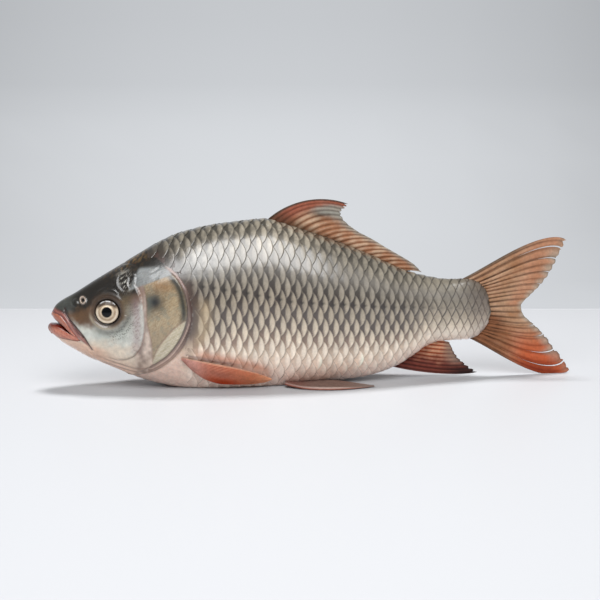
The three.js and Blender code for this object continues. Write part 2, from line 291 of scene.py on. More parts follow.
# ---- Head: where its features are, in the side view ---------------------------------------------------

OPERCLE_REAR = smooth_path(
    [(-116, 93.5), (-107, 85.5), (-102, 76.7), (-99.3, 65), (-99.3, 57), (-101.3, 48.5), (-106, 38.5),
     (-113, 29), (-120.5, 23), (-126, 19.5)]
)
MEMBRANE_REAR = smooth_path(
    [(-118, 97), (-111.5, 92.5), (-103.5, 84.3), (-97.5, 73), (-95, 60), (-96.4, 48.5), (-100.5, 37),
     (-107, 28), (-115.5, 20), (-124.5, 14.5), (-134, 11.5), (-146, 9.5)]
)
PREOPERCLE_REAR = smooth_path(
    [(-136.5, 80.5), (-132.7, 73.5), (-130.2, 62.5), (-129.8, 50), (-131.3, 39.5), (-134.5, 31.5),
     (-140, 26), (-149, 23.5), (-160, 26.5)]
)
OPERCLE_FRONT = smooth_path(
    [(-129.5, 78), (-128.3, 66), (-128.3, 54), (-126.6, 45.5), (-124.8, 35), (-124.3, 21)]
)
SUBOPERCLE_TOP = smooth_path([(-99.8, 54.5), (-106, 50.5), (-112, 45), (-120, 34.5), (-124.5, 24)])
MAXILLA_REAR = smooth_path(
    [(-188, 64), (-186.6, 57.5), (-184.8, 54), (-180.8, 49.4), (-174.3, 41), (-168.6, 31)]
)
MAXILLA_FOLD = smooth_path(
    [(-193, 60.5), (-189, 58.5), (-185.8, 56), (-182.6, 50.5), (-178.2, 43.5), (-174.6, 40.3)]
)
LOWER_LIP_FOOT = smooth_path(
    [(-200.5, 44), (-196, 40.8), (-189.5, 38.6), (-183, 38), (-177, 37.2), (-173.5, 39.3)]
)
JAW_LINES = [
    smooth_path([(-168, 27.5), (-158, 23), (-147, 19.5), (-136, 17.5), (-126, 18.8)]),
    smooth_path([(-164, 22), (-153, 18), (-143, 15.5), (-127, 14)]),
    smooth_path([(-174, 30), (-163, 19.5), (-150, 13.5), (-134, 9.5)]),
]
CHEEK_LINES = [
    smooth_path([(-144, 52), (-146.5, 44), (-152, 36), (-159, 31.5)]),
    smooth_path([(-137, 66), (-139.5, 54), (-144.5, 43), (-151, 34)]),
]
WRINKLES = [
    smooth_path([(-143.5, 88), (-141.5, 84), (-142, 79.5), (-140, 75)]),
    smooth_path([(-137.5, 89.5), (-136.3, 84), (-137.5, 79)]),
    smooth_path([(-146, 91), (-140, 92.5), (-135, 91.5)]),
    smooth_path([(-161.5, 73.2), (-157, 75.4), (-152.5, 75.6), (-149, 73.5)]),
]
TEMPLE_FOLD = smooth_path([(-146.5, 88), (-149.3, 84), (-149.5, 79), (-146.5, 75.3), (-143.5, 74.3)])
TOP_CREASE = smooth_path([(-137, 85.5), (-130, 87.5), (-123, 88.8), (-118, 92)])
MOUTH_CENTRE = np.array([-180.0, 0, 46.5])
THROAT = np.array([-181.0, 0, 45.0])  # the mouth's pocket closes toward this point
NOSTRIL = np.array([-174.3, 67.6])
NOSTRIL_FLAP = np.array([-179.5, 66.2])
EYE_AT = np.array([EYE[0], EYE[2]])
SOCKET_RADIUS = 8.9
EYE_RING_RADIUS = 11.6

# Crease where the lips meet the skin on the left, from the top to the bottom: share of the way, then x, z.
LIP_FOOT = [
    (0.0, -197.6, 56.6),
    (0.12, -195.0, 57.6),
    (0.22, -191.6, 56.8),
    (0.33, -187.4, 52.4),
    (0.43, -183.0, 45.9),
    (0.51, -178.4, 39.8),
    (0.56, -176.6, 38.0),
    (0.62, -179.6, 37.3),
    (0.72, -186.0, 38.2),
    (0.83, -192.5, 39.0),
    (0.93, -197.0, 41.2),
    (1.0, -198.9, 42.8),
]
LIP_FULLNESS = [(0, 0.9), (0.2, 1.1), (0.4, 1.2), (0.52, 0.5), (0.6, 0.9), (0.75, 1.7), (0.9, 1.9), (1, 1.6)]

# Edge of the mouth on the left, from the middle of the upper lip round its corner to the middle of the
# lower lip: share of the way, then x, y, z.
MOUTH_EDGE = [
    (0.0, -196.6, 0.0, 54.0),
    (0.12, -195.9, -3.4, 53.4),
    (0.25, -193.2, -6.8, 51.3),
    (0.38, -188.2, -9.4, 47.2),
    (0.46, -184.6, -10.9, 43.8),
    (0.5, -182.9, -11.5, 42.2),
    (0.54, -184.6, -11.0, 42.9),
    (0.62, -188.2, -9.8, 45.2),
    (0.75, -194.0, -7.0, 48.0),
    (0.88, -197.9, -3.5, 48.9),
    (1.0, -198.9, 0.0, 49.1),
]


def eye_relief(x, z):
    """The eye socket with its rings, the brow, and the nostril with its rim and flap."""
    out = np.zeros_like(x)
    across, up = x - EYE_AT[0], z - EYE_AT[1]
    near = np.hypot(across, up)
    # Eye socket, the dark ring around it and the ring of skin outside that
    out -= 5.5 * (1 - smoothstep(SOCKET_RADIUS - 1.4, SOCKET_RADIUS + 0.6, near))
    lower = smoothstep(6, -5, up + 0.3 * across)
    out -= between(0.35, 0.9, lower) * bell(near - 10.2, 1.0)
    out += 0.4 * lower * bell(near - EYE_RING_RADIUS - 0.9, 1.3)
    out += 0.35 * bell(near - 12.6, 1.6) * smoothstep(2, 9, up)
    # Nostril with its rim, and the flap of skin in front of it
    hole = np.hypot((x - NOSTRIL[0]) * 1.15, z - NOSTRIL[1])
    out += 0.7 * bell(hole - 2.2, 0.8) - 2.2 * (1 - smoothstep(0.7, 1.7, hole))
    flap = np.hypot(x - NOSTRIL_FLAP[0], z - NOSTRIL_FLAP[1])
    out += 0.6 * bell(flap, 1.6) - 0.4 * bell(flap - 2.8, 0.7)
    return out


def gill_relief(x, z):
    """The gill cover: its plates step down behind one another."""
    out = np.zeros_like(x)
    _, behind, _ = path_distance(x, z, OPERCLE_REAR)
    out += 1.2 * smoothstep(0.4, -0.4, behind) * smoothstep(-148, -130, x) * smoothstep(92, 84, z)
    _, behind, along = path_distance(x, z, MEMBRANE_REAR)
    fade = smoothstep(0.04, 0.2, along)
    out += 0.6 * smoothstep(0.5, -0.9, behind) * smoothstep(-160, -135, x) * fade
    out -= 0.4 * bell(behind - 1.0, 0.7) * fade
    grain = noise(np.stack([x, 0 * x, z], -1), 2.2, 23)
    out += 0.12 * grain * (behind > 0) * smoothstep(34, 24, z)
    gap, behind, along = path_distance(x, z, PREOPERCLE_REAR)
    fade = smoothstep(0, 0.08, along) * (1 - smoothstep(0.85, 1, along))
    cheek = smoothstep(0.6, -0.6, behind)
    out += 0.9 * cheek * bell(gap, 8) * fade - 0.55 * bell(gap - 0.3, 0.7) * fade
    gap, _, along = path_distance(x, z, OPERCLE_FRONT)
    out -= 0.5 * bell(gap, 0.6) * smoothstep(0, 0.15, along)
    gap, _, _ = path_distance(x, z, SUBOPERCLE_TOP)
    out -= 0.45 * bell(gap, 0.55)
    return out


def fold_relief(x, z):
    """Folds and creases under the jaw, on the cheek, behind the eye and over the gill cover."""
    out = np.zeros_like(x)
    for path in JAW_LINES:
        gap, _, along = path_distance(x, z, path)
        out -= 0.45 * bell(gap, 0.6) * taper(along, 0.5)
    for path in CHEEK_LINES:
        gap, _, along = path_distance(x, z, path)
        out -= 0.16 * bell(gap, 0.8) * taper(along, 0.5)
    gap, _, along = path_distance(x, z, TEMPLE_FOLD)
    out += 0.7 * bell(gap, 1.0) * taper(along)
    for path in WRINKLES:
        gap, behind, along = path_distance(x, z, path)
        out += (0.55 * bell(gap, 0.8) - 0.35 * bell(behind - 1.5, 0.7)) * taper(along)
    gap, _, along = path_distance(x, z, TOP_CREASE)
    out -= 0.5 * bell(gap, 0.5) * taper(along)
    return out


def head_relief(x, z, lips):
    """How far the skin stands out from the smooth surface. lips is 1 on the outside of the head and
    less towards the inside of the mouth."""
    out = eye_relief(x, z) + gill_relief(x, z) + fold_relief(x, z)
    # The folds of the upper jaw, and the crease where it slides under the cheek
    gap, behind, along = path_distance(x, z, MAXILLA_REAR)
    cheek = smoothstep(-0.4, 0.4, behind)
    fade = smoothstep(0, 0.2, along)
    out += lips * fade * (-1.0 * bell(gap - 0.3, 0.7) + 0.7 * cheek * bell(gap, 3.5))
    gap, _, along = path_distance(x, z, MAXILLA_FOLD)
    out -= lips * 0.8 * bell(gap, 0.6) * smoothstep(0, 0.25, along)
    return out


# ---- Colours of the skin ----------------------------------------------------------------------------

DARK_BACK = rgb(30, 25, 19)
OLIVE = rgb(70, 56, 38)
GREY_FLANK = rgb(128, 118, 106)
CREAM = rgb(206, 190, 171)
PINK_BELLY = rgb(203, 168, 150)
CHEEK_SILVER = rgb(210, 212, 203)
CHEEK_CREAM = rgb(228, 212, 192)
BROWN = rgb(106, 74, 48)
MOUTH_RED = rgb(96, 26, 16)
LIP_ORANGE = rgb(180, 110, 86)
LIP_MAUVE = rgb(134, 68, 60)


def tone_at(share, table):
    """The colour at a share of the way through a table of (share, screen colour)."""
    at = [row[0] for row in table]
    colours = np.array([rgb(*row[1]) for row in table])
    return np.stack([np.interp(share, at, colours[:, k]) for k in range(3)], -1)


def flank_tone(x, z):
    """The colour of the fish at large: dark on the back, grey-brown on the flank, pale below."""
    back, belly, _, _ = section(x)
    share = (z - np.maximum(belly, 0)) / (back - np.maximum(belly, 0))
    tone = mix(PINK_BELLY, CREAM, smoothstep(0.04, 0.17, share))
    tone = mix(tone, GREY_FLANK, smoothstep(0.24, 0.43, share))
    tone = mix(tone, OLIVE, 0.55 * smoothstep(0.62, 0.86, share))
    return mix(tone, DARK_BACK, 0.85 * smoothstep(0.84, 0.97, share))


def cheek_colour(points, blotch):
    """The head at large: pale below, silver on the cheek and dark on the crown."""
    x, z = points[..., 0], points[..., 2]
    back, belly, _, _ = section(x)
    share = (z - belly) / (back - belly)
    tone = mix(rgb(262, 224, 202), CHEEK_CREAM, smoothstep(0.02, 0.2, share))
    tone = mix(tone, CHEEK_SILVER, smoothstep(0.2, 0.38, share + 0.03 * blotch))
    # Brown and olive above a line that runs back from the mouth, under the eye and up behind it
    places = [-200, -190, -182, -172, -163, -150, -142, -136, -128]
    line = np.interp(x, places, [50, 51, 52, 49, 48, 49, 54, 62, 73])
    brown = smoothstep(-4.5, 4.5, z - line + 1.2 * blotch)
    tone = mix(tone, mix(BROWN, OLIVE, smoothstep(-6, 12, z - line - 8)), brown)
    tone = mix(tone, rgb(134, 114, 84), 0.7 * bell(x + 142.5, 4.5) * bell(z - 62, 10))
    tone = mix(tone, rgb(140, 108, 86), 0.5 * bell(x + 168.5, 3.0) * bell(z - 61, 6))
    tone = mix(tone, rgb(96, 72, 50), 0.8 * bell(x + 170, 11) * bell(z - 55 + 0.15 * (x + 170), 5.5))
    tone = mix(tone, DARK_BACK * 0.8, smoothstep(0.64, 0.82, share + 0.03 * blotch))
    return mix(tone, rgb(64, 66, 62), 0.9 * smoothstep(-176, -188, x) * smoothstep(55, 61, z))


def eye_colour(tone, points):
    """The skin round the eye, and the nostril."""
    x, z = points[..., 0], points[..., 2]
    across, up = x - EYE_AT[0], z - EYE_AT[1]
    eye = np.hypot(across, up)
    speckle = noise(points, 1.5, 11, 2)
    # Silver cheek with dark specks below and behind the eye
    rim = bell(eye - 17, 5) * smoothstep(3, -6, up - 0.4 * across)
    tone = mix(tone, rgb(150, 156, 148), 0.55 * rim * smoothstep(-13, -5, across))
    # Painted shade under the light ring below the eye
    under = bell(eye - 15.2, 2.2) * smoothstep(0, -8, up) * smoothstep(-12, -5, across)
    tone = mix(tone, rgb(112, 112, 104), 0.7 * under)
    specks = smoothstep(0.2, 0.7, speckle) * bell(eye - 18, 5) * smoothstep(14, 6, up)
    specks = specks * smoothstep(-3, 4, across)
    tone = mix(tone, rgb(66, 66, 60), 0.75 * specks)
    band = bell(x + 135 + 0.002 * (z - 55) ** 2, 3.6) * smoothstep(24, 36, z) * smoothstep(76, 62, z)
    tone = mix(tone, rgb(172, 152, 150), 0.65 * band)
    tone = mix(tone, rgb(110, 84, 88), 0.45 * band * smoothstep(0.2, 0.7, noise(points, 2.6, 14, 2)))
    # Light ring under the eye; round it a dark ring of painted shadow, darkest toward the lower rear, and
    # painted shade inside the socket
    ring = bell(eye - 12.4, 1.0) * smoothstep(1, -5, up) * smoothstep(9, 1, across)
    tone = mix(tone, rgb(206, 196, 172), 0.7 * ring)
    toward = (across - up) / np.maximum(eye, 1) / 1.41
    tone = mix(tone, rgb(86, 64, 46), 0.7 * bell(eye - 10.6, 2.2))
    depth = between(0.55, 0.95, smoothstep(-0.6, 0.8, toward))
    tone = mix(tone, rgb(38, 31, 26), depth * bell(eye - 9.4, 0.9))
    tone = mix(tone, rgb(44, 36, 31), smoothstep(SOCKET_RADIUS + 0.4, SOCKET_RADIUS - 0.4, eye))
    # Nostril
    hole = np.hypot((x - NOSTRIL[0]) * 1.15, z - NOSTRIL[1])
    tone = mix(tone, rgb(196, 176, 160), 0.85 * bell(hole - 2.1, 0.6))
    return mix(tone, rgb(18, 12, 10), smoothstep(1.5, 0.9, hole))


def gill_cover_colour(points, blotch, grain, gap, along):
    """Ribs that spread from a dark patch, and the paler plate below. gap is the distance to the rear edge
    and along is the place on it."""
    x, z = points[..., 0], points[..., 2]
    patch = np.array([-122.5, 67.5])
    angle = np.arctan2(z - patch[1], x - patch[0])
    away = np.hypot(x - patch[0], z - patch[1])
    ribs = 0.5 + 0.5 * np.sin(angle * 62 + 3.5 * noise(points, 14, 15)) * smoothstep(3, 9, away)
    gold = mix(rgb(160, 134, 98), rgb(190, 174, 144), np.clip(0.35 * ribs + 0.6 * grain, 0, 1))
    gold = mix(gold, rgb(120, 128, 116), 0.4 * smoothstep(0.2, 0.9, blotch))
    gold = mix(gold, rgb(136, 96, 50), 0.75 * bell(z - 79, 5) * bell(x + 116, 10))
    gold = mix(gold, rgb(150, 132, 108), 0.5 * smoothstep(56, 42, z))
    gold = mix(gold, rgb(24, 29, 36), 0.98 * bell(away * (1 + 0.25 * ribs), 8.2))
    gold = mix(gold, rgb(90, 100, 96), 0.6 * bell(x + 127, 3.2) * bell(z - 64, 10))
    gold = mix(gold, rgb(20, 30, 29), 0.92 * bell(gap - 2.4, 2.5) * smoothstep(0.62, 0.42, along))
    _, below_line, _ = path_distance(x, z, SUBOPERCLE_TOP)
    below = smoothstep(-0.5, 0.7, below_line) * smoothstep(56, 52, z)
    return mix(gold, mix(rgb(214, 204, 182), rgb(188, 176, 148), grain), 0.9 * below)


def temple_colour(tone, points, plate, top_line, grain):
    """Folds of skin between the cheek and the gill cover, a painted highlight over the top of the gill
    cover, and pale silver with painted highlight on the wrinkles of the temple.
    """
    x, z = points[..., 0], points[..., 2]
    _, behind_cheek, _ = path_distance(x, z, PREOPERCLE_REAR)
    strip = (behind_cheek > 0) * (1 - plate) * smoothstep(-140, -134, x) * (x < -120) * (z < 80)
    folded = 0.5 + 0.5 * noise(points * np.array([1.6, 1, 0.7]), 9.0, 21)
    fold_tone = mix(rgb(150, 126, 114), rgb(206, 182, 166), folded * smoothstep(84, 40, z))
    tone = mix(tone, fold_tone, 0.8 * strip)
    # Painted highlight: a pale grey patch over the top of the gill cover
    crown = smoothstep(-0.8, 0.8, z - top_line) * smoothstep(1.5, -1.5, z - 92 - 0.1 * (x + 125))
    crown = crown * smoothstep(-1.5, 1.5, x + 138.5 - 0.5 * (z - 80)) * smoothstep(-107, -111, x)
    crown_highlight_tone = mix(rgb(136, 139, 139), rgb(104, 103, 98), 0.45 * smoothstep(0.3, 0.95, grain))
    tone = mix(tone, crown_highlight_tone, 0.92 * crown)
    mottle = smoothstep(-0.1, 0.8, noise(points, 4.5, 19)) * bell(z - 97 - 0.45 * (x + 138), 5)
    mottle = mottle * bell(x + 140, 14)
    tone = mix(tone, rgb(128, 98, 56), 0.6 * mottle)
    # Pale silver with painted highlight on the wrinkles of the temple
    wrinkle_silver_and_highlight = bell(x + 143, 4.5) * bell(z - 82, 6)
    return mix(tone, rgb(196, 192, 182), 0.9 * wrinkle_silver_and_highlight * smoothstep(-0.2, 0.4, noise(points, 2.6, 18)))


def membrane_colour(tone, points, behind_plate):
    """The membrane behind the gill cover, and the shaded skin behind that."""
    x, z = points[..., 0], points[..., 2]
    gap_skin, behind_skin, _ = path_distance(x, z, MEMBRANE_REAR)
    skin = smoothstep(-0.4, 0.4, behind_plate) * smoothstep(0.6, -0.4, behind_skin) * (x > -128)
    skin = skin * smoothstep(94, 91, z)
    membrane = mix(rgb(78, 56, 48), rgb(182, 152, 136), smoothstep(46, 20, z))
    membrane = mix(membrane, rgb(150, 122, 114), 0.8 * smoothstep(68, 84, z))
    membrane = mix(membrane, rgb(160, 138, 128), 0.5 * bell(behind_plate - 1.2, 0.6))
    folds = bell(behind_plate - 2.3, 0.45) - 0.8 * bell(behind_plate - 3.2, 0.4)
    membrane = mix(membrane, rgb(236, 206, 188), 0.55 * np.maximum(folds, 0) * smoothstep(62, 48, z))
    membrane = mix(membrane, rgb(84, 58, 50), 0.5 * np.maximum(-folds, 0) * smoothstep(62, 48, z))
    tone = mix(tone, membrane, skin)
    rear = (behind_skin > 0) * (x > -140)
    throat_tone = mix(rgb(246, 210, 192), rgb(200, 176, 154), smoothstep(16, 36, z))
    tone = mix(tone, throat_tone, 0.95 * rear * (z < 80))
    grit = smoothstep(0.1, 0.9, noise(points, 1.8, 22, 2))
    tone = mix(tone, rgb(244, 222, 208), 0.6 * grit * rear * smoothstep(30, 22, z))
    shade = (behind_skin > 0) * bell(np.maximum(gap_skin - 1.5, 0), 5) * smoothstep(30, 46, z)
    return mix(tone, rgb(70, 52, 46), 0.88 * shade)


def head_colour(points):
    x, z = points[..., 0], points[..., 2]
    blotch = noise(points, 9.0, 12)
    grain = 0.5 + 0.5 * noise(points, 1.6, 16, 3)
    rear_gap, behind_plate, along = path_distance(x, z, OPERCLE_REAR)
    _, behind_front, _ = path_distance(x, z, OPERCLE_FRONT)
    top_line = 79 + 0.38 * (x + 131)
    plate = smoothstep(0.3, -0.4, behind_plate) * smoothstep(-0.6, 0.5, behind_front) * smoothstep(18, 24, z)
    plate = plate * smoothstep(-150, -146, x) * smoothstep(1, -1, z - top_line)
    tone = eye_colour(cheek_colour(points, blotch), points)
    tone = mix(tone, gill_cover_colour(points, blotch, grain, rear_gap, along), plate)
    tone = temple_colour(tone, points, plate, top_line, grain)
    tone = membrane_colour(tone, points, behind_plate)
    for path in JAW_LINES + [PREOPERCLE_REAR, OPERCLE_FRONT, SUBOPERCLE_TOP]:
        gap, _, along = path_distance(x, z, path)
        tone = mix(tone, rgb(142, 104, 88), 0.6 * bell(gap, 0.55) * taper(along))
    tone = mix(tone, rgb(60, 48, 42), 0.6 * bell(rear_gap + 0.1, 0.6) * (x > -128))
    return upper_jaw_colour(tone, x, z)


def upper_jaw_colour(tone, x, z):
    rear_gap, behind, _ = path_distance(x, z, MAXILLA_REAR)
    fold_gap, _, _ = path_distance(x, z, MAXILLA_FOLD)
    _, above_foot, _ = path_distance(x, z, LOWER_LIP_FOOT)
    ahead = smoothstep(0.4, -0.4, behind) * smoothstep(60.5, 57.5, z + 0.35 * (x + 190))
    ahead = ahead * smoothstep(-0.8, 0.8, np.where(x < -178.5, above_foot, z - 31.2 + 0.85 * (x + 168)))
    maxilla = mix(LIP_MAUVE, rgb(176, 120, 108), 0.6 * bell(fold_gap - 1.6, 0.7))
    maxilla = mix(maxilla, rgb(186, 136, 122), 0.7 * smoothstep(-178, -170, x))
    jaw = smoothstep(-150, -166, x) * smoothstep(40, 36, z + 0.3 * (x + 180))
    tone = mix(tone, rgb(236, 194, 168), 0.8 * jaw)
    tone = mix(tone, maxilla, 0.95 * ahead * (x < -167))
    tone = mix(tone, rgb(70, 42, 38), 0.8 * bell(fold_gap, 0.5) * (x > -190))
    return mix(tone, rgb(58, 38, 34), 0.85 * bell(rear_gap - 0.2, 0.65) * (z < 62))


# ---- Skin --------------------------------------------------------------------------------------------

HEAD_RING_X = -170.0  # the rings around the mouth become cross-sections here
AROUND = 180  # points from the back to the belly


def side_shares():
    """Shares of the way from the back to the belly, closest together on the flank."""
    t = np.linspace(0, 1, AROUND)
    return t + 0.045 * np.sin(2 * math.pi * t)


def mouth_edge(share):
    return np.stack([curve_through(MOUTH_EDGE, column)(share) for column in (1, 2, 3)], -1)


def lip_foot(share):
    """x and turn of the crease where the lips end on the smooth skin."""
    x, z = (curve_through(LIP_FOOT, column)(share) for column in (1, 2))
    turn = turn_at(x, z)
    ends = smoothstep(0, 0.08, share), smoothstep(1, 0.92, share)
    return x, math.pi + (turn * ends[0] - math.pi) * ends[1]


def skin_rows():
    """Rows of points on the left half of the skin, from deep in the mouth to the tail, and two numbers
    per point: outside, from 0 in the mouth to 1 on the head, and lip, 1 along the crest of the lips."""
    shares = side_shares()
    edge = mouth_edge(shares)
    foot_x, foot_turn = lip_foot(shares)
    foot = skin_point(foot_x, foot_turn)
    ring_turn = math.pi * shares
    rows, outside, lip = [], [], []

    def add(row, out, crest):
        rows.append(row)
        outside.append(np.full(AROUND, float(out)))
        lip.append(np.full(AROUND, float(crest)))

    for depth in np.linspace(1, 0.06, 14) ** 1.4:
        pocket = mix(edge, THROAT, np.full(AROUND, depth))
        swell = math.sin(math.pi * depth) * 0.7
        pocket[:, 2] += np.clip(pocket[:, 2] - 45.5, -2, 2) * swell
        add(pocket, 0, 0)
    outward = foot - MOUTH_CENTRE
    outward[:, 2] *= 1.5
    outward /= np.linalg.norm(outward, axis=1)[:, None]
    fullness = curve_through(LIP_FULLNESS)(shares)
    for step in np.linspace(0, 1, 15):
        bulge = math.sin(math.pi * step ** 0.8) ** 0.8 if 0 < step < 1 else 0.0
        row = mix(edge, foot, np.full(AROUND, step)) + outward * (fullness * bulge)[:, None]
        add(row, step, bulge)
    for step in (np.linspace(0, 1, 46)[1:]) ** 1.1:
        x = between(foot_x, HEAD_RING_X, step)
        turn = between(foot_turn, ring_turn, smoothstep(0, 0.8, step))
        add(skin_point(x, turn), 1, -1)
    xs = np.concatenate([
        np.arange(HEAD_RING_X + 0.75, -88, 0.75),
        np.arange(-87, 120, 3.0),
        np.linspace(120.5, SNOUT_X + BODY_LENGTH - 0.02, 18),
    ])
    for x in xs:
        add(skin_point(np.full(AROUND, x), ring_turn), 1, -1)
    return np.array(rows), np.array(outside), np.array(lip)


def grid_normals(rows):
    """Outward directions of the left half of the skin from its own points."""
    down = np.gradient(rows, axis=1)
    along = np.gradient(rows, axis=0)
    normal = np.cross(down, along)
    length = np.linalg.norm(normal, axis=-1, keepdims=True)
    return normal / np.maximum(length, 1e-9)


SCALES_START = curve_through(
    [(-5, -100), (8, -101), (20, -100), (30, -97), (40, -93.5), (50, -91), (60, -90), (72, -92.5),
     (84, -99), (93, -106), (99, -115), (106, -124), (130, -128)]
)


def mouth_colour(points, outside, lip):
    """Dark red deep in the mouth, orange lips, darker in the crease at their foot."""
    x, z = points[..., 0], points[..., 2]
    fleck = noise(points, 2.0, 17, 2)
    low = smoothstep(48.5, 45, z) * smoothstep(-176, -180, x)
    flesh = mix(LIP_MAUVE, LIP_ORANGE, smoothstep(0.05, 0.6, lip))
    flesh = mix(flesh, mix(rgb(180, 98, 78), rgb(214, 144, 120), 0.5 + 0.5 * fleck), 0.85 * low)
    flesh = mix(flesh, rgb(112, 78, 66), 0.75 * bell(np.hypot(x + 199.5, (z - 48) * 0.7), 2.2))
    flesh = mix(flesh, rgb(104, 66, 60), 0.8 * smoothstep(0.86, 1.0, outside))
    throat = mix(rgb(120, 34, 16), MOUTH_RED * 0.6, smoothstep(-192, -184, x))
    return mix(throat, flesh, smoothstep(0, 0.12, outside))


def make_skin():
    rows, outside, lip = skin_rows()
    normals = grid_normals(rows)
    x, z = rows[..., 0], rows[..., 2]
    on_head = smoothstep(SCALES_START(z) + 9, SCALES_START(z) + 3, x)
    relief = np.where(x < -80, head_relief(x, z, outside), 0)
    on_skin = lip < 0
    relief = relief * on_head * on_skin - 0.35 * (1 - on_head)
    relief = relief - 0.5 * bell(outside - 0.97, 0.1) * ~on_skin
    points = rows + normals * relief[..., None]
    points[:, 0, 1] = 0
    points[:, -1, 1] = 0
    above_table(points)
    colours = np.where(outside[..., None] > 0, mix(flank_tone(x, z) * 0.6, head_colour(rows), on_head), 0)
    colours = np.where(on_skin[..., None], colours, mouth_colour(rows, outside, lip))
    left, right = points, mirrored(points[:, -2:0:-1])
    ring = np.concatenate([left, right], 1)
    tint = np.concatenate([colours, colours[:, -2:0:-1]], 1)
    count = ring.shape[1]
    flat = ring.reshape(-1, 3)
    faces = grid_faces(len(ring), count, closed=True, flip=True)
    faces.append(list(range(count)))
    last = (len(ring) - 1) * count
    faces.append([last + i for i in range(count)][::-1])
    return make_mesh("skin", flat, faces, tint.reshape(-1, 3))


# ---- Scales --------------------------------------------------------------------------------------------

COLUMN_PITCH = curve_through([(-130, 8.0), (0, 8.0), (90, 7.5), (112, 6.6), (136, 4.0)])
ROW_PITCH = curve_through(
    [(-130, 9.4), (-90, 9.8), (-30, 9.4), (20, 8.6), (60, 7.6), (90, 7.0), (115, 6.6), (136, 5.4)]
)
LATERAL_LINE = curve_through(
    [(-130, 84), (-98, 80.5), (-64, 75), (-44, 71.6), (-27, 67.8), (-12, 65.4), (24, 62.2),
     (56, 58.9), (85, 56.5), (117, 54), (136, 52)]
)
TIP = 0.5  # how far a scale's tip is behind its middle, in columns
ACROSS, ALONG = 15, 10  # points across and along one scale


def arc_table():
    """Turn by share of the way around the flank, at evenly spaced x, with the length of the way and
    where along it the lateral line runs."""
    xs = np.linspace(-135, SNOUT_X + BODY_LENGTH - 0.5, 260)
    turns = np.linspace(0, math.pi, 361)
    points = skin_point(xs[:, None], turns[None, :])
    steps = np.linalg.norm(np.diff(points, axis=1), axis=-1)
    arcs = np.concatenate([np.zeros((len(xs), 1)), np.cumsum(steps, 1)], 1)
    total = arcs[:, -1]
    shares = np.linspace(0, 1, 301)
    turn = np.array([np.interp(shares * total[i], arcs[i], turns) for i in range(len(xs))])
    line_turn = turn_at(xs, LATERAL_LINE(xs))
    line = np.array([np.interp(line_turn[i], turns, arcs[i]) for i in range(len(xs))])
    return xs, turn, total, line


ARC_X, ARC_TURN, ARC_TOTAL, ARC_LINE = arc_table()


def flank_point(x, up):
    """x and turn of the point that lies up, in millimetres along the skin, from the lateral line."""
    total = np.interp(x, ARC_X, ARC_TOTAL)
    share = np.clip((np.interp(x, ARC_X, ARC_LINE) - up) / total, 0, 1)
    i = np.clip((x - ARC_X[0]) / (ARC_X[1] - ARC_X[0]), 0, len(ARC_X) - 1.001)
    k = share * (ARC_TURN.shape[1] - 1)
    i0, k0 = i.astype(int), np.minimum(k.astype(int), ARC_TURN.shape[1] - 2)
    x_part, up_part = i - i0, k - k0
    low = ARC_TURN[i0, k0] * (1 - up_part) + ARC_TURN[i0, k0 + 1] * up_part
    high = ARC_TURN[i0 + 1, k0] * (1 - up_part) + ARC_TURN[i0 + 1, k0 + 1] * up_part
    return low * (1 - x_part) + high * x_part


def column_places():
    """x for each column number."""
    xs = np.linspace(-135, 136, 2000)
    number = np.concatenate([[0], np.cumsum(np.diff(xs) / COLUMN_PITCH((xs[1:] + xs[:-1]) / 2))])
    return lambda column: np.interp(column, number, xs)


X_OF_COLUMN = column_places()


def scale_centres():
    centres = []
    for row in range(-14, 15):
        for half in range(0, 90):
            column = half + (0.5 if row % 2 else 0.0)
            x = float(X_OF_COLUMN(column))
            if x > 133.5 or x < -130:
                continue
            up = row * float(ROW_PITCH(x))
            line, total = np.interp(x, ARC_X, ARC_LINE), np.interp(x, ARC_X, ARC_TOTAL)
            if not -0.6 * ROW_PITCH(x) < line - up < total + 0.6 * ROW_PITCH(x):
                continue
            z = float(skin_point(x, flank_point(np.array([x]), np.array([up]))[0])[2])
            if x < SCALES_START(z) - 1:
                continue
            centres.append((column, row, x))
    return np.array(centres)


# Colours of the scales from the belly to the back: on the petal at the rear of each one, and in front of it.
PETAL_TONES = [
    (0.0, (266, 236, 218)), (0.12, (268, 245, 227)), (0.24, (250, 234, 215)), (0.35, (216, 200, 178)),
    (0.5, (174, 160, 140)), (0.68, (152, 143, 129)), (0.78, (144, 137, 127)), (0.88, (140, 132, 118)),
    (1.0, (112, 105, 92)),
]
# The ground is lighter around 0.8, where the highlight band lies on the upper flank: painted highlight.
GROUND_TONES = [
    (0.0, (262, 226, 208)), (0.12, (258, 230, 210)), (0.22, (222, 198, 174)), (0.3, (144, 118, 100)),
    (0.4, (80, 65, 57)), (0.6, (62, 53, 48)), (0.7, (78, 71, 64)), (0.8, (112, 106, 97)),
    (0.88, (88, 82, 72)), (1.0, (50, 46, 38)),
]


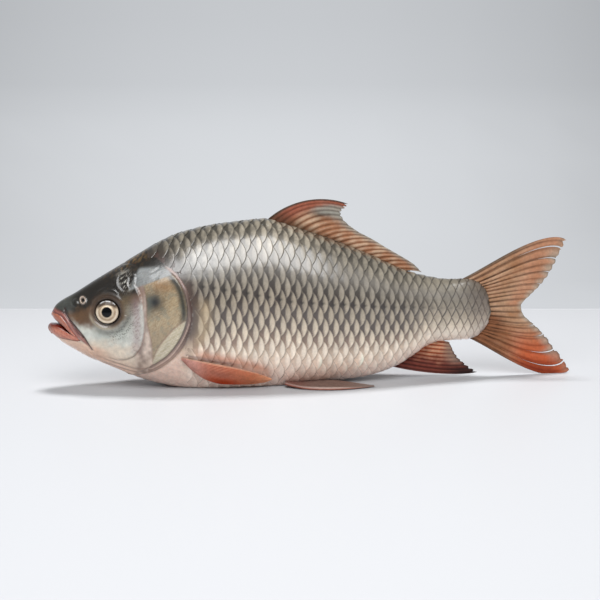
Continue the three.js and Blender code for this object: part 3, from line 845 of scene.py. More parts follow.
def scale_pattern(x, xi, eta, edge_gap, front_gap, share):
    """Colour of a scale: an upright light petal along its free edge, dark in front of that, partly pigment
    and partly painted shade under the scale ahead, and towards the tail light all over between thin dark
    lines that are partly painted shadow of the free edges."""
    tail = smoothstep(58, 104, x)
    share = share + 0.1 * tail * (1 - share)
    petal, ground = tone_at(share, PETAL_TONES), tone_at(share, GROUND_TONES)
    petal = petal * between(1.06, 0.92, tail)[..., None]
    start = TIP - 0.54 + 0.2 * (np.abs(eta) / 0.76) ** 1.8
    almond = smoothstep(-0.07, 0.09, xi - start)
    full = smoothstep(0.01, 0.13, front_gap)
    inside = between(almond, full, tail)
    tone = mix(ground, petal, inside)
    # Painted shade: the front of the petal darker where it comes out from under the scale ahead
    tone = mix(tone, tone * 0.8, 0.6 * bell(xi - start - 0.1, 0.14) * (1 - tail))
    # A thin dark line along the free edge, partly a dark margin and partly painted shadow, strongest toward
    # the tail
    line = smoothstep(0.085, 0.02, edge_gap)
    tone = mix(tone, ground * 0.6, between(0.5, 0.9, tail) * line)
    # Painted highlight: a lighter copy of the petal just inside its free edge
    return mix(tone, petal * 1.12, 0.35 * bell(edge_gap - 0.15, 0.07))


def skin_tints(tone, points, vary):
    """Painted shade behind the gill covers, the blush above the pectoral fins and painted shade in the
    recess just over them, painted highlights on the upper back, its mottles, and the dark root of the tail."""
    x, z = points[..., 0], points[..., 2]
    _, behind, _ = path_distance(x, z, MEMBRANE_REAR)
    shade = bell(np.maximum(behind - 1, 0), 5.5) * smoothstep(30, 48, z) * (x < -80)
    tone = mix(tone, rgb(84, 62, 52), 0.8 * shade * (0.8 + 0.2 * vary))
    gold = bell(behind - 9, 5) * smoothstep(30, 42, z) * smoothstep(74, 62, z) * (x < -74)
    tone = mix(tone, rgb(196, 170, 130), 0.5 * gold)
    over_fin = z - PECTORAL_TOP((x + 103.5) / 66.5) - 3.5
    blush = bell(over_fin, 4.2) * smoothstep(-98, -86, x) * smoothstep(-30, -46, x)
    tone = mix(tone, rgb(190, 106, 62), 0.75 * blush)
    red = bell(z - 5, 7) * smoothstep(-60, -30, x) * smoothstep(60, 20, x)
    tone = mix(tone, rgb(196, 116, 100), 0.16 * red)
    # Painted shade: a dark red-brown line in the recess just above the pectoral fin
    slit = bell(over_fin + 2.4, 1.5) * smoothstep(-104, -98, x) * smoothstep(-48, -74, x)
    tone = mix(tone, rgb(84, 36, 28), 0.8 * slit)
    # Painted highlight: the back scales lightened toward white
    silver = bell(x + 26, 26) * smoothstep(98, 112, z)
    tone = mix(tone, np.minimum(tone * 1.9, 1), 0.6 * silver)
    # Painted highlight: a pale grey sheen on the upper flank just behind the head
    sheen = smoothstep(82, 87, z) * smoothstep(93, 86, z - 0.5 * (x + 118)) * smoothstep(-58, -98, x)
    tone = mix(tone, rgb(188, 187, 184), 0.5 * sheen * (0.85 + 0.15 * vary))
    root = smoothstep(104, 131, x + 0.004 * (z - 52) ** 2)
    tone = mix(tone, rgb(88, 68, 60), 0.5 * root)
    mottle = smoothstep(-0.2, 0.9, noise(points, 5, 24)) * smoothstep(0, 14, z - 100 + 0.25 * np.abs(x + 40))
    return mix(tone, tone * 0.5, 0.7 * mottle * (x < 40))


def make_scales(name, side):
    centres = scale_centres()
    rng = np.random.default_rng(5)
    a = np.linspace(0, 1, ALONG)
    b = np.linspace(-1.14, 1.14, ACROSS)
    points, colours, faces = [], [], []
    for number, (column, row, at_x) in enumerate(centres):
        vary = rng.normal(size=6)
        tail = float(smoothstep(30, 105, at_x))
        roundness = 1.75 - 0.5 * tail
        edge = TIP - 0.5 * np.abs(b) ** roundness
        front = TIP - 1.22
        xi = front + (edge[None, :] - front) * a[:, None] ** 0.8
        eta = np.broadcast_to(b, xi.shape)
        x = X_OF_COLUMN(column + xi + 0.02 * vary[0])
        up = (row + eta + 0.02 * vary[1]) * ROW_PITCH(x)
        turn = flank_point(x, up)
        base = skin_point(x, turn)
        normal = skin_normal(x, turn)
        size = float(COLUMN_PITCH(at_x)) / 8
        grown = smoothstep(-2, 24, x - SCALES_START(base[..., 2]))
        grown = grown * between(0.35, 1, smoothstep(6, 26, base[..., 2]))
        lift = 0.66 * (xi - (TIP - 1)) + 0.16 * (1 - eta**2) * smoothstep(TIP - 1, TIP - 0.4, xi)
        lift = lift - 0.1 * np.clip((xi - TIP + 0.2) / 0.2, 0, 1) ** 2 + 0.07 * vary[2] * (xi - front)
        lift = lift * size * (0.35 + 0.65 * grown)
        place = base + normal * lift[..., None]
        rim = place[-1:] - normal[-1:] * 0.3 + (base[-1:] - base[-2:-1]) * 0.04
        sheet = np.concatenate([place, rim], 0)
        above_table(sheet, FLOOR_GAP * 0.5)
        sheet[..., 1] = np.minimum(sheet[..., 1], 0.0)
        # How far each point is behind the edges of the scales that lie over it
        ahead = TIP - 1.0 - 0.5 * np.abs(eta) ** roundness
        beside = TIP - 0.5 - 0.5 * np.abs(1 - np.abs(eta)) ** roundness
        back, belly, _, _ = section(x)
        share = (base[..., 2] - np.maximum(belly, 0)) / (back - np.maximum(belly, 0))
        tone = scale_pattern(x, xi, eta, edge[None, :] - xi, xi - np.maximum(ahead, beside), share)
        if row == 0:
            pore = bell(np.hypot((xi - TIP + 0.55) / 0.2, eta / 0.13), 1)
            tone = mix(tone, rgb(24, 20, 19), 0.95 * pore * (1 - 0.6 * tail))
        tone = skin_tints(tone, base, vary[4]) * (1 + 0.07 * vary[3])
        nape = smoothstep(84, 92, base[..., 2]) * (1 - grown)
        tone = mix(tone, DARK_BACK, 0.6 * nape)
        # The turned-down rim of each scale takes 0.4 of the edge colour: painted shade under the free edge
        tone = np.concatenate([tone, tone[-1:] * 0.4], 0)
        points.append(sheet.reshape(-1, 3))
        colours.append(tone.reshape(-1, 3))
        faces += grid_faces(ALONG + 1, ACROSS, number * (ALONG + 1) * ACROSS, flip=side > 0)
    points = np.vstack(points)
    return make_mesh(name, points if side < 0 else mirrored(points), faces, np.vstack(colours))


# ---- Eyes -----------------------------------------------------------------------------------------------

EYE_CAP = 1.7  # how far the middle of the eye stands out from its rim
PUPIL_RADIUS = 3.75
EYE_SHOWN = 8.5


def make_eye(name, side):
    """A flattish disc of an eye with a rounded face, set into its socket facing outwards."""
    x, z = EYE_AT
    turn = turn_at(x, z)
    base = skin_point(x, turn)
    normal = skin_normal(x, turn)
    normal = normal * np.array([0.6, 1, 0.5])
    normal /= np.linalg.norm(normal)
    right = np.cross(normal, [0, 0, 1])
    right /= np.linalg.norm(right)
    up = np.cross(right, normal)
    rings, spokes = 34, 72
    radii = np.concatenate([np.linspace(0.02, EYE_SHOWN, rings), [EYE_SHOWN + 0.2, EYE_SHOWN - 0.4, 0.5]])
    heights = EYE_CAP * (1 - (radii / EYE_SHOWN) ** 2)
    heights[:rings] += 0.45 * (1 - smoothstep(PUPIL_RADIUS, PUPIL_RADIUS + 1.4, radii[:rings]))
    heights[-3:] = -1.2, -5, -6
    angle = np.linspace(0, 2 * math.pi, spokes, endpoint=False)
    spot = radii[:, None, None] * (
        np.cos(angle)[None, :, None] * right + np.sin(angle)[None, :, None] * up
    )
    points = base + normal * 0.1 + spot + heights[:, None, None] * normal
    r = np.broadcast_to(radii[:, None], (len(radii), spokes))
    rise = np.broadcast_to(np.sin(angle)[None, :], r.shape)
    mottle = noise(points, 3.0, 31)
    iris = mix(rgb(206, 186, 158), rgb(180, 156, 134), 0.5 + 0.5 * mottle)
    iris = mix(iris, rgb(150, 122, 94), 0.6 * bell(r - 6.0, 0.9) * smoothstep(1.0, -0.4, rise))
    iris = mix(iris, rgb(226, 212, 186), 0.8 * bell(r - 4.5, 0.4))
    iris = mix(iris, rgb(240, 226, 204), 0.8 * bell(r - 7.2, 0.8) * smoothstep(0.6, 0.0, rise))
    # Painted shadow over the top of the iris, and painted highlight glints along its upper rim
    painted_top_shadow = smoothstep(4.9, 6.2, r + 2.2 * (rise - 0.85)) * smoothstep(0.2, 0.65, rise)
    iris = mix(iris, rgb(62, 50, 42), 0.92 * painted_top_shadow)
    glint = bell(r - 8.0, 0.4) * smoothstep(0.5, 0.8, rise)
    iris = mix(iris, rgb(232, 234, 236), 0.95 * glint * smoothstep(-0.4, 0.3, noise(points, 4.0, 32)))
    iris = mix(iris, rgb(48, 40, 34), smoothstep(7.9, 8.4, r))
    tone = mix(iris, rgb(6, 8, 12), smoothstep(PUPIL_RADIUS + 0.25, PUPIL_RADIUS - 0.2, r))
    flat = points.reshape(-1, 3)
    if side > 0:
        flat = mirrored(flat)
    faces = grid_faces(len(radii), spokes, closed=True, flip=side < 0)
    faces.append(list(range(spokes)) if side < 0 else list(range(spokes))[::-1])
    return make_mesh(name, flat, faces, tone.reshape(-1, 3))


# ---- Fins -----------------------------------------------------------------------------------------------


def ray_profile(u, v, rays):
    """How far a point is from the nearest ray, from 0 on it to 1 midway, with rays that fork."""
    place = u * rays
    one = np.abs(place - np.round(place)) * 2
    fork = smoothstep(0.35, 0.75, v)
    two = np.abs(2 * place - np.round(2 * place)) * 2
    return one * (1 - fork) + two * fork, one


def opened(u, v, edge, width, slit):
    """How far a slit pushes the points of a strip of that width away from its edge."""
    if slit is None:
        return 0
    _, start, half_width = slit
    opening = half_width * np.clip((v - start) / (1 - start), 0, 1) ** 1.3
    return opening * (1 - np.clip(np.abs(u - edge) / max(width, 1e-6), 0, 1)) ** 2


def sheet_faces(rows, steps, start):
    """Faces of a sheet whose rows of points run over its front and back over its rear, closed all
    round."""
    faces = grid_faces(rows, steps, start)
    for r in range(rows // 2 - 1):
        p0, p1 = start + r * steps, start + (r + 1) * steps
        q0, q1 = start + (rows - 1 - r) * steps, start + (rows - 2 - r) * steps
        faces.append([p1, p0, q0, q1])
        faces.append([p0 + steps - 1, p1 + steps - 1, q1 + steps - 1, q0 + steps - 1])
    for k in range(steps - 1):
        a0, b0 = start + k, start + (rows - 1) * steps + k
        faces.append([a0, a0 + 1, b0 + 1, b0])
    return faces


def fin_mesh(name, place, normal, rays, thick, colour, splits=(), ragged=0.02, steps=54, per_ray=6, seed=3):
    """A fin as a sheet with two faces. place(u, v) gives points for u across the rays and v along
    them, and colour(u, v, on_ray, on_main, p) the tint. splits are slits between rays: (u, where along the
    ray it starts, half its width at the edge as a share of the fin)."""
    rng = np.random.default_rng(seed)
    cuts = [0.0] + [s[0] for s in splits] + [1.0]
    points, colours, faces = [], [], []
    v = np.linspace(0, 1, steps)
    size = 0
    for n, (low, high) in enumerate(zip(cuts, cuts[1:])):
        count = max(4, int(round((high - low) * rays * per_ray))) + 1
        u = np.linspace(low, high, count)
        U, V = np.meshgrid(u, v, indexing="ij")
        low_slit = splits[n - 1] if n > 0 else None
        high_slit = splits[n] if n < len(splits) else None
        uu = U + opened(U, V, low, high - low, low_slit) - opened(U, V, high, high - low, high_slit)
        wave = sum(np.sin(U * rays * k * 3.1 + rng.uniform(0, 6.3)) for k in (0.5, 1.0, 2.1)) / 3
        on_ray, on_main = ray_profile(U, V, rays)
        notch = ragged * (0.5 * wave + 0.9 * on_main**2)
        vv = V * (1 - np.maximum(notch, 0) * V**6)
        spot = place(uu, vv)
        out = normal(uu, vv)
        half = thick * (0.34 + 0.66 * (1 - on_ray**1.5)) * (1 - 0.72 * V**1.5)
        edge_thin = np.minimum(1, np.minimum(np.abs(U - low), np.abs(high - U)) * rays * 3 + 0.25)
        half = (half * edge_thin * np.minimum(1, (1 - V) * 12 + 0.15))[..., None]
        start = size
        tone = colour(U, V, on_ray, on_main, spot)
        front, rear = spot - out * half, spot + out * half
        sheet = np.concatenate([front, rear[::-1]], 0)
        points.append(sheet.reshape(-1, 3))
        size += len(points[-1])
        colours.append(np.concatenate([tone, tone[::-1]], 0).reshape(-1, 3))
        faces += sheet_faces(sheet.shape[0], steps, start)
    return make_mesh(name, np.vstack(points), faces, np.vstack(colours))


def bow_between(base, tip, bow, u, v, skew=(1.5, 0.6)):
    """Points of curved rays in the plane Y = 0: base(u) and tip(u) give their ends, and bow(u) how far
    each one swings up from the straight line."""
    start, end = base(u), tip(u)
    line = start + (end - start) * v[..., None]
    step = end - start
    length = np.linalg.norm(step, axis=-1, keepdims=True)
    across = np.stack([-step[..., 1], step[..., 0]], -1) / np.maximum(length, 1e-9)
    peak = skew[0] / (skew[0] + skew[1])
    top = peak ** skew[0] * (1 - peak) ** skew[1]
    swing = np.maximum(v, 0) ** skew[0] * np.maximum(1 - v, 0) ** skew[1] / top
    flat = line + across * (swing * bow(u))[..., None]
    return np.stack([flat[..., 0], np.zeros_like(v), flat[..., 1]], -1)


def table_curve(rows):
    """A curve through rows of (share, x, z)."""
    reads = [curve_through(rows, column) for column in (1, 2)]
    return lambda u: np.stack([read(u) for read in reads], -1)


def flat_normal(u, v):
    out = np.zeros(u.shape + (3,))
    out[..., 1] = 1
    return out


TAIL_BASE = table_curve(
    [(0, 109, 74.6), (0.2, 127.5, 70), (0.4, 131.5, 60.5), (0.6, 132.5, 47), (0.8, 129.5, 36),
     (1, 115, 31.5)]
)
TAIL_TIPS = table_curve([
    (0, 194.4, 104.1), (0.045, 191.8, 99.8), (0.12, 187.3, 90.1), (0.22, 181, 78.5), (0.34, 171.4, 67.1),
    (0.43, 165, 61.3), (0.5, 159.3, 54.4), (0.57, 161.3, 47.6), (0.67, 170.3, 39.3), (0.77, 178, 31.8),
    (0.88, 187.7, 19.7), (0.955, 196, 8.8), (1, 199.8, 3.2),
])
TAIL_BOW = curve_through(
    [(0, 8.2), (0.06, 6.5), (0.2, 3.0), (0.5, 0.3), (0.8, -4.0), (0.93, -8.0), (1, -10.0)]
)
TAIL_SPLITS = (
    (0.062, 0.5, 0.0042), (0.125, 0.74, 0.0034), (0.21, 0.9, 0.003), (0.3, 0.93, 0.003),
    (0.67, 0.9, 0.003), (0.77, 0.88, 0.003), (0.875, 0.62, 0.003), (0.945, 0.45, 0.0028),
)


def tail_place(u, v):
    points = bow_between(TAIL_BASE, TAIL_TIPS, TAIL_BOW, u, v)
    points[..., 1] += 0.8 * np.sin(u * 9 + 1) * v**2
    return above_table(points, 0.25)


def tail_colour(u, v, on_ray, on_main, p):
    ray = mix(rgb(198, 148, 110), rgb(218, 176, 142), 0.5 + 0.5 * noise(p, 22, 41))
    red = smoothstep(0.62, 0.95, u) * smoothstep(0.25, 0.7, v)
    ray = mix(ray, rgb(228, 104, 52), 0.9 * red)
    ray = mix(ray, rgb(226, 160, 126), 0.5 * smoothstep(0.45, 0.75, v) * (u < 0.5))
    ray = mix(ray, rgb(150, 86, 46), 0.8 * smoothstep(0.52, 0.62, u) * smoothstep(0.6, 0.2, v))
    gap = mix(rgb(66, 38, 20), rgb(136, 86, 56), 0.5 + 0.5 * noise(p, 15, 42))
    gap = mix(gap, rgb(168, 54, 22), 0.85 * red)
    gap = gap * (1 - 0.45 * bell(u - 0.5, 0.16))[..., None]
    deep = smoothstep(0.16, 0.10, np.abs(u - 0.5)) * 0.6
    skin_share = smoothstep(0.35, 0.95, on_main * (1 - 0.25 * v)) * (1 - 0.25 * v)
    tone = mix(ray, gap * (1 - deep)[..., None], skin_share)
    ends = smoothstep(0.04, 0.12, u) * smoothstep(0.97, 0.86, u)
    edge = smoothstep(0.84, 1.0, v + 0.05 * np.sin(u * 95) * np.sin(u * 31)) * ends
    tone = mix(tone, mix(rgb(212, 200, 182), rgb(150, 134, 116), 0.6 * on_main), 0.75 * edge)
    tone = mix(tone, rgb(120, 114, 104), 0.6 * smoothstep(0.98, 1.0, v) * ends)
    tone = mix(tone, rgb(92, 88, 80), 0.8 * smoothstep(0.035, 0.0, u) * smoothstep(0.95, 0.4, v))
    red_edge = smoothstep(0.9, 0.97, u) * smoothstep(0.45, 0.7, v) * smoothstep(1.0, 0.85, v)
    tone = mix(tone, rgb(134, 40, 22), 0.6 * red_edge)
    tone = mix(tone, rgb(178, 160, 138), 0.5 * smoothstep(0.93, 1.0, v) * (1 - ends))
    return mix(tone, rgb(86, 74, 66), 0.7 * smoothstep(0.97, 1.0, u) * smoothstep(0.7, 0.3, v))


def dorsal_base(u):
    x = -39 + 103 * np.asarray(u) ** 1.1
    return np.stack([x, section(x)[0] - 2.5], -1)


DORSAL_TIPS = table_curve([
    (0, 24.0, 134.4), (0.1, 21.4, 131.4), (0.17, 18.4, 128.9), (0.26, 19.6, 124.2),
    (0.33, 24.0, 119.2), (0.43, 32.1, 113.4),
    (0.54, 42.3, 107.9), (0.66, 53.1, 101.3), (0.78, 63.8, 95.0), (0.9, 74.6, 88.2), (1, 81.2, 81.6),
])
DORSAL_BOW = curve_through([(0, 9.5), (0.1, 8.0), (0.25, 5), (0.45, 3.2), (1, 1.2)])


def dorsal_place(u, v):
    points = bow_between(dorsal_base, DORSAL_TIPS, DORSAL_BOW, u, v, skew=(0.9, 0.9))
    points[..., 1] += 0.7 * np.sin(u * 14) * v
    return points


def dorsal_colour(u, v, on_ray, on_main, p):
    ray = mix(rgb(206, 148, 110), rgb(232, 194, 160), smoothstep(-0.3, 0.9, noise(p, 24, 51)))
    gap = mix(rgb(128, 78, 48), rgb(158, 106, 74), 0.5 + 0.5 * noise(p, 20, 52))
    tone = mix(ray, gap, smoothstep(0.35, 0.95, on_main))
    bright = smoothstep(0.25, 0.05, on_main) * bell(v - 0.35, 0.3) * (u > 0.2)
    tone = mix(tone, rgb(244, 224, 204), 0.35 * bright)
    tone = mix(tone, mix(rgb(190, 104, 80), rgb(146, 78, 60), on_main), 0.85 * smoothstep(0.24, 0.1, u))
    tone = mix(tone, rgb(66, 60, 56), 0.85 * bell(u - 0.215, 0.055) * smoothstep(0.35, 0.65, v))
    grey = smoothstep(0.6, 1.0, v + 0.03 * noise(p, 9, 53) + 0.25 * bell(u - 0.18, 0.06))
    grey = grey * smoothstep(0.05, 0.13, u)
    tone = mix(tone, mix(rgb(196, 194, 182), rgb(138, 132, 122), on_main), 0.85 * grey)
    tone = mix(tone, rgb(104, 98, 88), 0.5 * smoothstep(0.97, 1.0, v))
    tone = mix(tone, rgb(84, 80, 72), 0.85 * smoothstep(0.045, 0.01, u))
    return mix(tone, rgb(86, 62, 42), 0.8 * smoothstep(0.3, 0.03, v))


def anal_base(u):
    x = 57 + 29 * np.asarray(u)
    return np.stack([x, section(x)[1] + 1 + 2.5 * smoothstep(0, 0.3, np.asarray(u))], -1)


ANAL_TIPS = table_curve(
    [(0, 126.0, 3.0), (0.1, 122.6, 5.0), (0.25, 117.0, 8.8), (0.42, 112.2, 13), (0.62, 107.8, 18.3),
     (0.82, 105, 23.4), (1, 103.4, 27)]
)
ANAL_BOW = curve_through([(0, -3.4), (0.3, -2.4), (1, 0.6)])


def anal_place(u, v):
    points = bow_between(anal_base, ANAL_TIPS, ANAL_BOW, u, v, skew=(0.9, 0.7))
    points[..., 1] += 0.6 * np.sin(u * 11 + 2) * v
    return above_table(points, 0.3)


def anal_colour(u, v, on_ray, on_main, p):
    upper = smoothstep(0.25, 0.85, u + 0.06 * noise(p, 9, 61))
    ray = mix(rgb(150, 76, 62), rgb(255, 196, 156), upper)
    gap = mix(rgb(100, 48, 40), rgb(190, 94, 58), upper)
    tone = mix(ray, gap, smoothstep(0.25, 0.85, on_main))
    tone = mix(tone, rgb(206, 84, 44), 0.5 * smoothstep(0.45, 0.1, v) * upper)
    tone = mix(tone, rgb(150, 138, 126), 0.7 * smoothstep(0.62, 0.95, v) * smoothstep(0.2, 0.5, u))
    tone = mix(tone, rgb(44, 34, 34), 0.85 * smoothstep(0.5, 0.9, v) * smoothstep(0.4, 0.08, u))
    tone = mix(tone, rgb(64, 54, 50), 0.6 * smoothstep(0.94, 1.0, v))
    return mix(tone, rgb(150, 110, 104), 0.5 * smoothstep(0.07, 0.0, u) * smoothstep(0.8, 0.3, v))


PECTORAL_TOP = curve_through([(0, 26.6), (0.25, 23.4), (0.55, 19.3), (0.82, 14.4), (1, 9.6)])
PECTORAL_FOOT = curve_through(
    [(0, 25.0), (0.12, 16.5), (0.28, 9.0), (0.46, 5.6), (0.7, 5.2), (0.93, 6.6), (1, 8.6)]
)


def pectoral_turn(u, v):
    x = -103.5 + 66.5 * v
    z = between(PECTORAL_TOP(v), PECTORAL_FOOT(v), u)
    return x, turn_at(x, z)


def pectoral_place(u, v):
    x, turn = pectoral_turn(u, v)
    lift = 1.3 + 1.6 * np.sin(math.pi * np.clip(v, 0, 1) * 0.5) + 0.8 * np.sin(math.pi * u)
    return above_table(skin_point(x, turn) + skin_normal(x, turn) * lift[..., None], 0.4)


def pectoral_normal(u, v):
    return -skin_normal(*pectoral_turn(u, v))


def pectoral_colour(u, v, on_ray, on_main, p):
    ray = mix(rgb(246, 176, 152), rgb(262, 182, 130), v)
    gap = mix(rgb(204, 118, 96), rgb(222, 108, 62), v)
    tone = mix(ray, gap, smoothstep(0.15, 0.7, on_ray))
    tone = mix(tone, rgb(184, 108, 92), 0.6 * bell(v - 0.4, 0.2) * bell(u - 0.45, 0.22))
    hot = bell(v - 0.46, 0.2) * smoothstep(0.5, 0.85, u)
    tone = mix(tone, mix(rgb(228, 84, 14), rgb(194, 50, 2), on_ray), 0.95 * hot)
    tone = mix(tone, rgb(238, 186, 174), 0.85 * smoothstep(0.34, 0.06, v))
    tone = mix(tone, rgb(255, 208, 176), 0.7 * smoothstep(0.09, 0.0, u))
    return mix(tone, rgb(262, 206, 164), 0.6 * smoothstep(0.75, 1.0, v))


def pelvic_place(u, v):
    width = 23 * (0.22 + 0.78 * np.sin(math.pi * (0.1 + 0.9 * v) ** 0.85))
    x = -24 + 64 * v - 3 * (1 - u) * (1 - v)
    y = -15.5 - 11 * np.sin(math.pi / 2 * v) - (0.58 - u) * width
    low = 4.2 * (1 - np.minimum(1, v / 0.3)) ** 2 * (0.5 + 0.5 * u)
    crown = 2.6 * u * np.sin(math.pi * np.minimum(1, v + 0.05))
    return np.stack([x, y, low + crown + 0.75], -1)


def up_normal(u, v):
    out = np.zeros(u.shape + (3,))
    out[..., 2] = -1
    return out


def pelvic_colour(u, v, on_ray, on_main, p):
    tone = mix(rgb(164, 136, 124), rgb(112, 84, 74), smoothstep(0.2, 0.9, on_ray))
    tone = mix(tone, rgb(248, 222, 212), 0.9 * bell(u - 0.12, 0.08) * smoothstep(1, 0.5, v))
    tone = mix(tone, rgb(206, 120, 100), 0.7 * smoothstep(0.1, 0.0, u))
    tone = mix(tone, rgb(128, 60, 48), 0.5 * smoothstep(0.35, 0.05, v))
    return mix(tone, rgb(164, 156, 152), 0.5 * smoothstep(0.7, 1.0, v))


# ---- Materials -----------------------------------------------------------------------------------------


def set_inputs(node, **values):
    for key, value in values.items():
        node.inputs[key.replace("_", " ")].default_value = value


def connect(links, *wires):
    """Links between nodes: each wire is a node, its output, the next node and its input."""
    for source, result, target, socket in wires:
        links.new(source.outputs[result], target.inputs[socket])


SCATTER_REACH = (0.004, 0.002, 0.001)  # how far red, green and blue light goes in the flesh, in metres


def wet_material(
    name, roughness, coat, coat_roughness, grain, grain_size, ior=1.4, translucent=0.0, scatter=0.0
):
    """A tinted wet surface with fine grain in its relief."""
    material = bpy.data.materials.new(name)
    material.use_nodes = True
    nodes, links = material.node_tree.nodes, material.node_tree.links
    nodes.clear()
    output = nodes.new("ShaderNodeOutputMaterial")
    shader = nodes.new("ShaderNodeBsdfPrincipled")
    tint = nodes.new("ShaderNodeVertexColor")
    tint.layer_name = "Tint"
    where = nodes.new("ShaderNodeTexCoord")
    fine = nodes.new("ShaderNodeTexNoise")
    set_inputs(fine, Scale=1 / grain_size, Detail=3.0, Roughness=0.6)
    bump = nodes.new("ShaderNodeBump")
    set_inputs(bump, Strength=grain, Distance=0.0004)
    set_inputs(shader, Roughness=roughness, IOR=ior, Coat_Weight=coat, Coat_Roughness=coat_roughness)
    set_inputs(shader, Subsurface_Weight=scatter, Subsurface_Radius=SCATTER_REACH, Subsurface_Scale=0.5)
    vary = nodes.new("ShaderNodeTexNoise")
    set_inputs(vary, Scale=1 / (grain_size * 2.2), Detail=4.0, Roughness=0.65)
    levels = nodes.new("ShaderNodeMapRange")
    set_inputs(levels, From_Min=0.25, From_Max=0.75, To_Min=0.82, To_Max=1.16)
    blend = nodes.new("ShaderNodeVectorMath")
    blend.operation = "SCALE"
    connect(
        links,
        (where, "Object", fine, "Vector"), (where, "Object", vary, "Vector"),
        (fine, "Fac", bump, "Height"), (vary, "Fac", levels, "Value"),
        (tint, "Color", blend, 0), (levels, "Result", blend, "Scale"),
        (blend, "Vector", shader, "Base Color"), (bump, "Normal", shader, "Normal"),
    )
    if translucent:
        through = nodes.new("ShaderNodeBsdfTranslucent")
        both = nodes.new("ShaderNodeMixShader")
        both.inputs["Fac"].default_value = translucent
        connect(
            links,
            (blend, "Vector", through, "Color"), (shader, "BSDF", both, 1),
            (through, "BSDF", both, 2), (both, "Shader", output, "Surface"),
        )
    else:
        connect(links, (shader, "BSDF", output, "Surface"))
    return material


def give(piece, material, node):
    piece.data.materials.append(material)
    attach(piece, "root")
    if node:
        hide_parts(node)


# ---- Build the fish ---------------------------------------------------------------------------------------

skin_material = wet_material(
    "wet skin", roughness=0.34, coat=0.8, coat_roughness=0.12, grain=0.35, grain_size=0.0016,
    ior=1.45, scatter=0.06,
)
scale_material = wet_material(
    "wet scales", roughness=0.3, coat=1.0, coat_roughness=0.14, grain=0.2, grain_size=0.0012, ior=1.6
)
eye_material = wet_material(
    "eye", roughness=0.15, coat=0.4, coat_roughness=0.02, grain=0.02, grain_size=0.0011, ior=1.15
)
fin_material = wet_material(
    "damp fin", roughness=0.5, coat=0.1, coat_roughness=0.2, grain=0.3, grain_size=0.0011,
    ior=1.3, translucent=0.3,
)

give(make_skin(), skin_material, "body")
give(make_scales("scales_left", -1), scale_material, None)
give(make_scales("scales_right", 1), scale_material, None)
give(make_eye("eyeball_left", -1), eye_material, "eye_left")
give(make_eye("eyeball_right", 1), eye_material, "eye_right")

tail = fin_mesh(
    "tail_rays", tail_place, flat_normal, rays=21, thick=0.9, colour=tail_colour,
    splits=TAIL_SPLITS, ragged=0.012,
)
give(tail, fin_material, "tail_fin")
dorsal = fin_mesh(
    "dorsal_rays", dorsal_place, flat_normal, rays=19, thick=0.75, colour=dorsal_colour, ragged=0.03
)
give(dorsal, fin_material, "dorsal_fin")
anal = fin_mesh(
    "anal_rays", anal_place, flat_normal, rays=9, thick=0.75, colour=anal_colour, ragged=0.022, per_ray=10
)
give(anal, fin_material, "anal_fin")


def paired(make_name, place, normal, rays, colour, node):
    """A fin on the left and its mirror image on the right."""
    for side, word in ((-1, "left"), (1, "right")):
        flip = np.array([1, -side, 1])
        piece = fin_mesh(
            f"{make_name}_{word}",
            lambda u, v: place(u, v) * flip,
            lambda u, v: normal(u, v) * flip,
            rays, thick=0.6, colour=colour, ragged=0.01, per_ray=7,
        )
        give(piece, fin_material, f"{node}_{word}")


paired("pectoral_rays", pectoral_place, pectoral_normal, 14, pectoral_colour, "pectoral_fin")
paired("pelvic_rays", pelvic_place, up_normal, 9, pelvic_colour, "pelvic_fin")

# ---- Stage: table, light and camera --------------------------------------------------------------------

TABLE_TINT = (0.452, 0.459, 0.476)
AZIMUTH, ELEVATION = math.radians(-7.5), math.radians(9.5)
CAMERA_DISTANCE = 1.0695
LENS, SENSOR_WIDTH = 85, 36
TARGET = np.array([-0.0125, 0.0, 0.0624])
LIGHT_TARGET = np.array([-0.02, 0, 0.08])
TABLE_END = 0.317  # how far behind the fish the white table gives way to the grey sweep behind it
# The sweep, painted light given off by the paper: how far behind the fish, height, screen grey and how much
# darker it gets to the sides
SWEEP = [
    (TABLE_END + 0.004, 0, 214, 0.3), (0.5, 0, 216, 0.7), (1, 0, 218, 1), (2.5, 0, 216, 1), (6, 0, 210, 1),
    (7.2, 0.12, 203, 1), (7.8, 0.5, 198, 1), (8.1, 1.2, 194, 1), (8.2, 6, 190, 1),
]


def make_camera():
    back = np.array([
        math.sin(AZIMUTH) * math.cos(ELEVATION),
        -math.cos(AZIMUTH) * math.cos(ELEVATION),
        math.sin(ELEVATION),
    ])
    data = bpy.data.cameras.new("camera")
    data.lens, data.sensor_width = LENS, SENSOR_WIDTH
    camera = bpy.data.objects.new("camera", data)
    camera.location = TARGET + back * CAMERA_DISTANCE
    camera.rotation_euler = (math.pi / 2 - ELEVATION, 0, AZIMUTH)
    bpy.context.scene.collection.objects.link(camera)
    bpy.context.scene.camera = camera


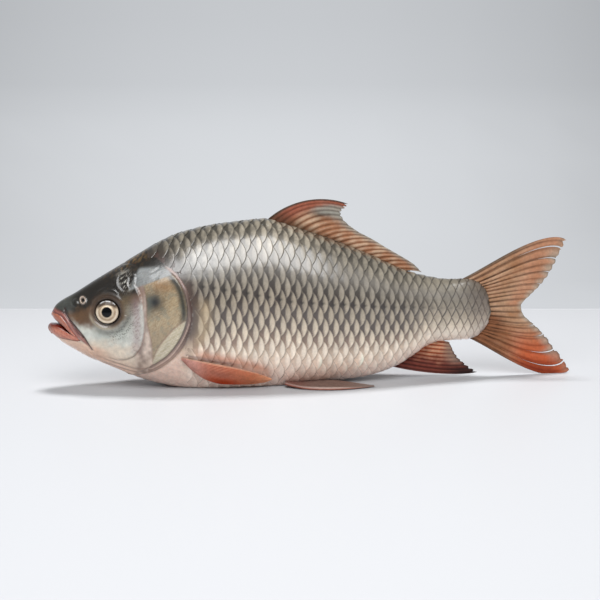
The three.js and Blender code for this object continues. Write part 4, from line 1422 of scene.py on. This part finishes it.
def table_mesh():
    """A wide white table that gives way, some way behind the fish, to a sweep of grey paper that rises far
    behind it, painted as light it gives off, brightest in the middle and darker to the sides and up the
    rise."""
    flat = [(-60, 0, 240, 0), (-1, 0, 240, 0), (TABLE_END - 0.004, 0, 240, 0)]
    fan = [-40, -1, -0.3, -0.22, -0.17, -0.11, -0.05, 0, 0.05, 0.11, 0.17, 0.22, 0.3, 1, 40]
    points, painted_light, painted_light_share = [], [], []
    for row, (y, z, grey, darker) in enumerate(flat + SWEEP):
        for spread in fan:
            points.append((spread * (abs(y) + CAMERA_DISTANCE), y, z))
            # Painted light: the sweep is brightest in the middle and darker to the sides
            side = max(-0.22, min(0.22, spread))
            fade = 1 - darker * (4.0 * side**2 + 0.15 * side)
            painted_light.append(rgb(grey, grey + 3, grey + 7) * fade)
            painted_light_share.append(float(row >= len(flat)))
    mesh = bpy.data.meshes.new("table")
    mesh.from_pydata(points, [], grid_faces(len(flat + SWEEP), len(fan), flip=True))
    for name, kind, values in (("PaintedLight", "FLOAT_VECTOR", painted_light), ("PaintedLightShare", "FLOAT", painted_light_share)):
        layer = mesh.attributes.new(name, kind, "POINT")
        layer.data.foreach_set("vector" if kind == "FLOAT_VECTOR" else "value", np.array(values).ravel())
    return mesh


def table_material():
    """White under the studio light, and painted light given off where the sweep is."""
    material = bpy.data.materials.new("white table")
    material.use_nodes = True
    nodes, links = material.node_tree.nodes, material.node_tree.links
    shader, output = nodes["Principled BSDF"], nodes["Material Output"]
    shader.inputs["Base Color"].default_value = (*TABLE_TINT, 1)
    set_inputs(shader, Roughness=0.42, IOR=1.22)
    sweep = nodes.new("ShaderNodeEmission")
    both = nodes.new("ShaderNodeMixShader")
    for name, result, target, socket in (("PaintedLight", "Vector", sweep, "Color"), ("PaintedLightShare", "Fac", both, "Fac")):
        reader = nodes.new("ShaderNodeAttribute")
        reader.attribute_name = name
        connect(links, (reader, result, target, socket))
    connect(
        links,
        (shader, "BSDF", both, 1), (sweep, "Emission", both, 2), (both, "Shader", output, "Surface"),
    )
    return material


def make_table():
    mesh = table_mesh()
    mesh.materials.append(table_material())
    table = bpy.data.objects.new("table", mesh)
    table.rotation_euler = (0, 0, AZIMUTH)
    bpy.context.scene.collection.objects.link(table)


def softbox(name, size, brightness, elevation, azimuth, distance, shine=True):
    """A rectangular light that faces the fish, with its brightness as seen and its direction."""
    up, turn = math.radians(elevation), math.radians(azimuth)
    data = bpy.data.lights.new(name, "AREA")
    data.shape = "RECTANGLE"
    data.size, data.size_y = size
    data.energy = brightness * math.pi * size[0] * size[1]
    light = bpy.data.objects.new(name, data)
    away = np.array([math.sin(turn) * math.cos(up), -math.cos(turn) * math.cos(up), math.sin(up)])
    light.location = LIGHT_TARGET + away * distance
    light.rotation_euler = (math.pi / 2 - up, 0, turn)
    light.visible_glossy = shine
    bpy.context.scene.collection.objects.link(light)


def make_world():
    world = bpy.data.worlds.new("studio")
    bpy.context.scene.world = world
    world.use_nodes = True
    background = world.node_tree.nodes["Background"]
    background.inputs["Color"].default_value = (0.96, 0.98, 1.0, 1)
    background.inputs["Strength"].default_value = 0.25


def make_light():
    softbox("front softbox", (1.0, 0.85), brightness=5.6, elevation=46, azimuth=-8, distance=1.2)
    softbox(
        "top softbox", (0.34, 0.26), brightness=76, elevation=101, azimuth=-6, distance=1.25, shine=False
    )
    make_world()


make_camera()
make_table()
make_light()
view = bpy.context.scene.view_settings
view.view_transform = "Standard"
view.look = "None"
view.exposure = 0.0
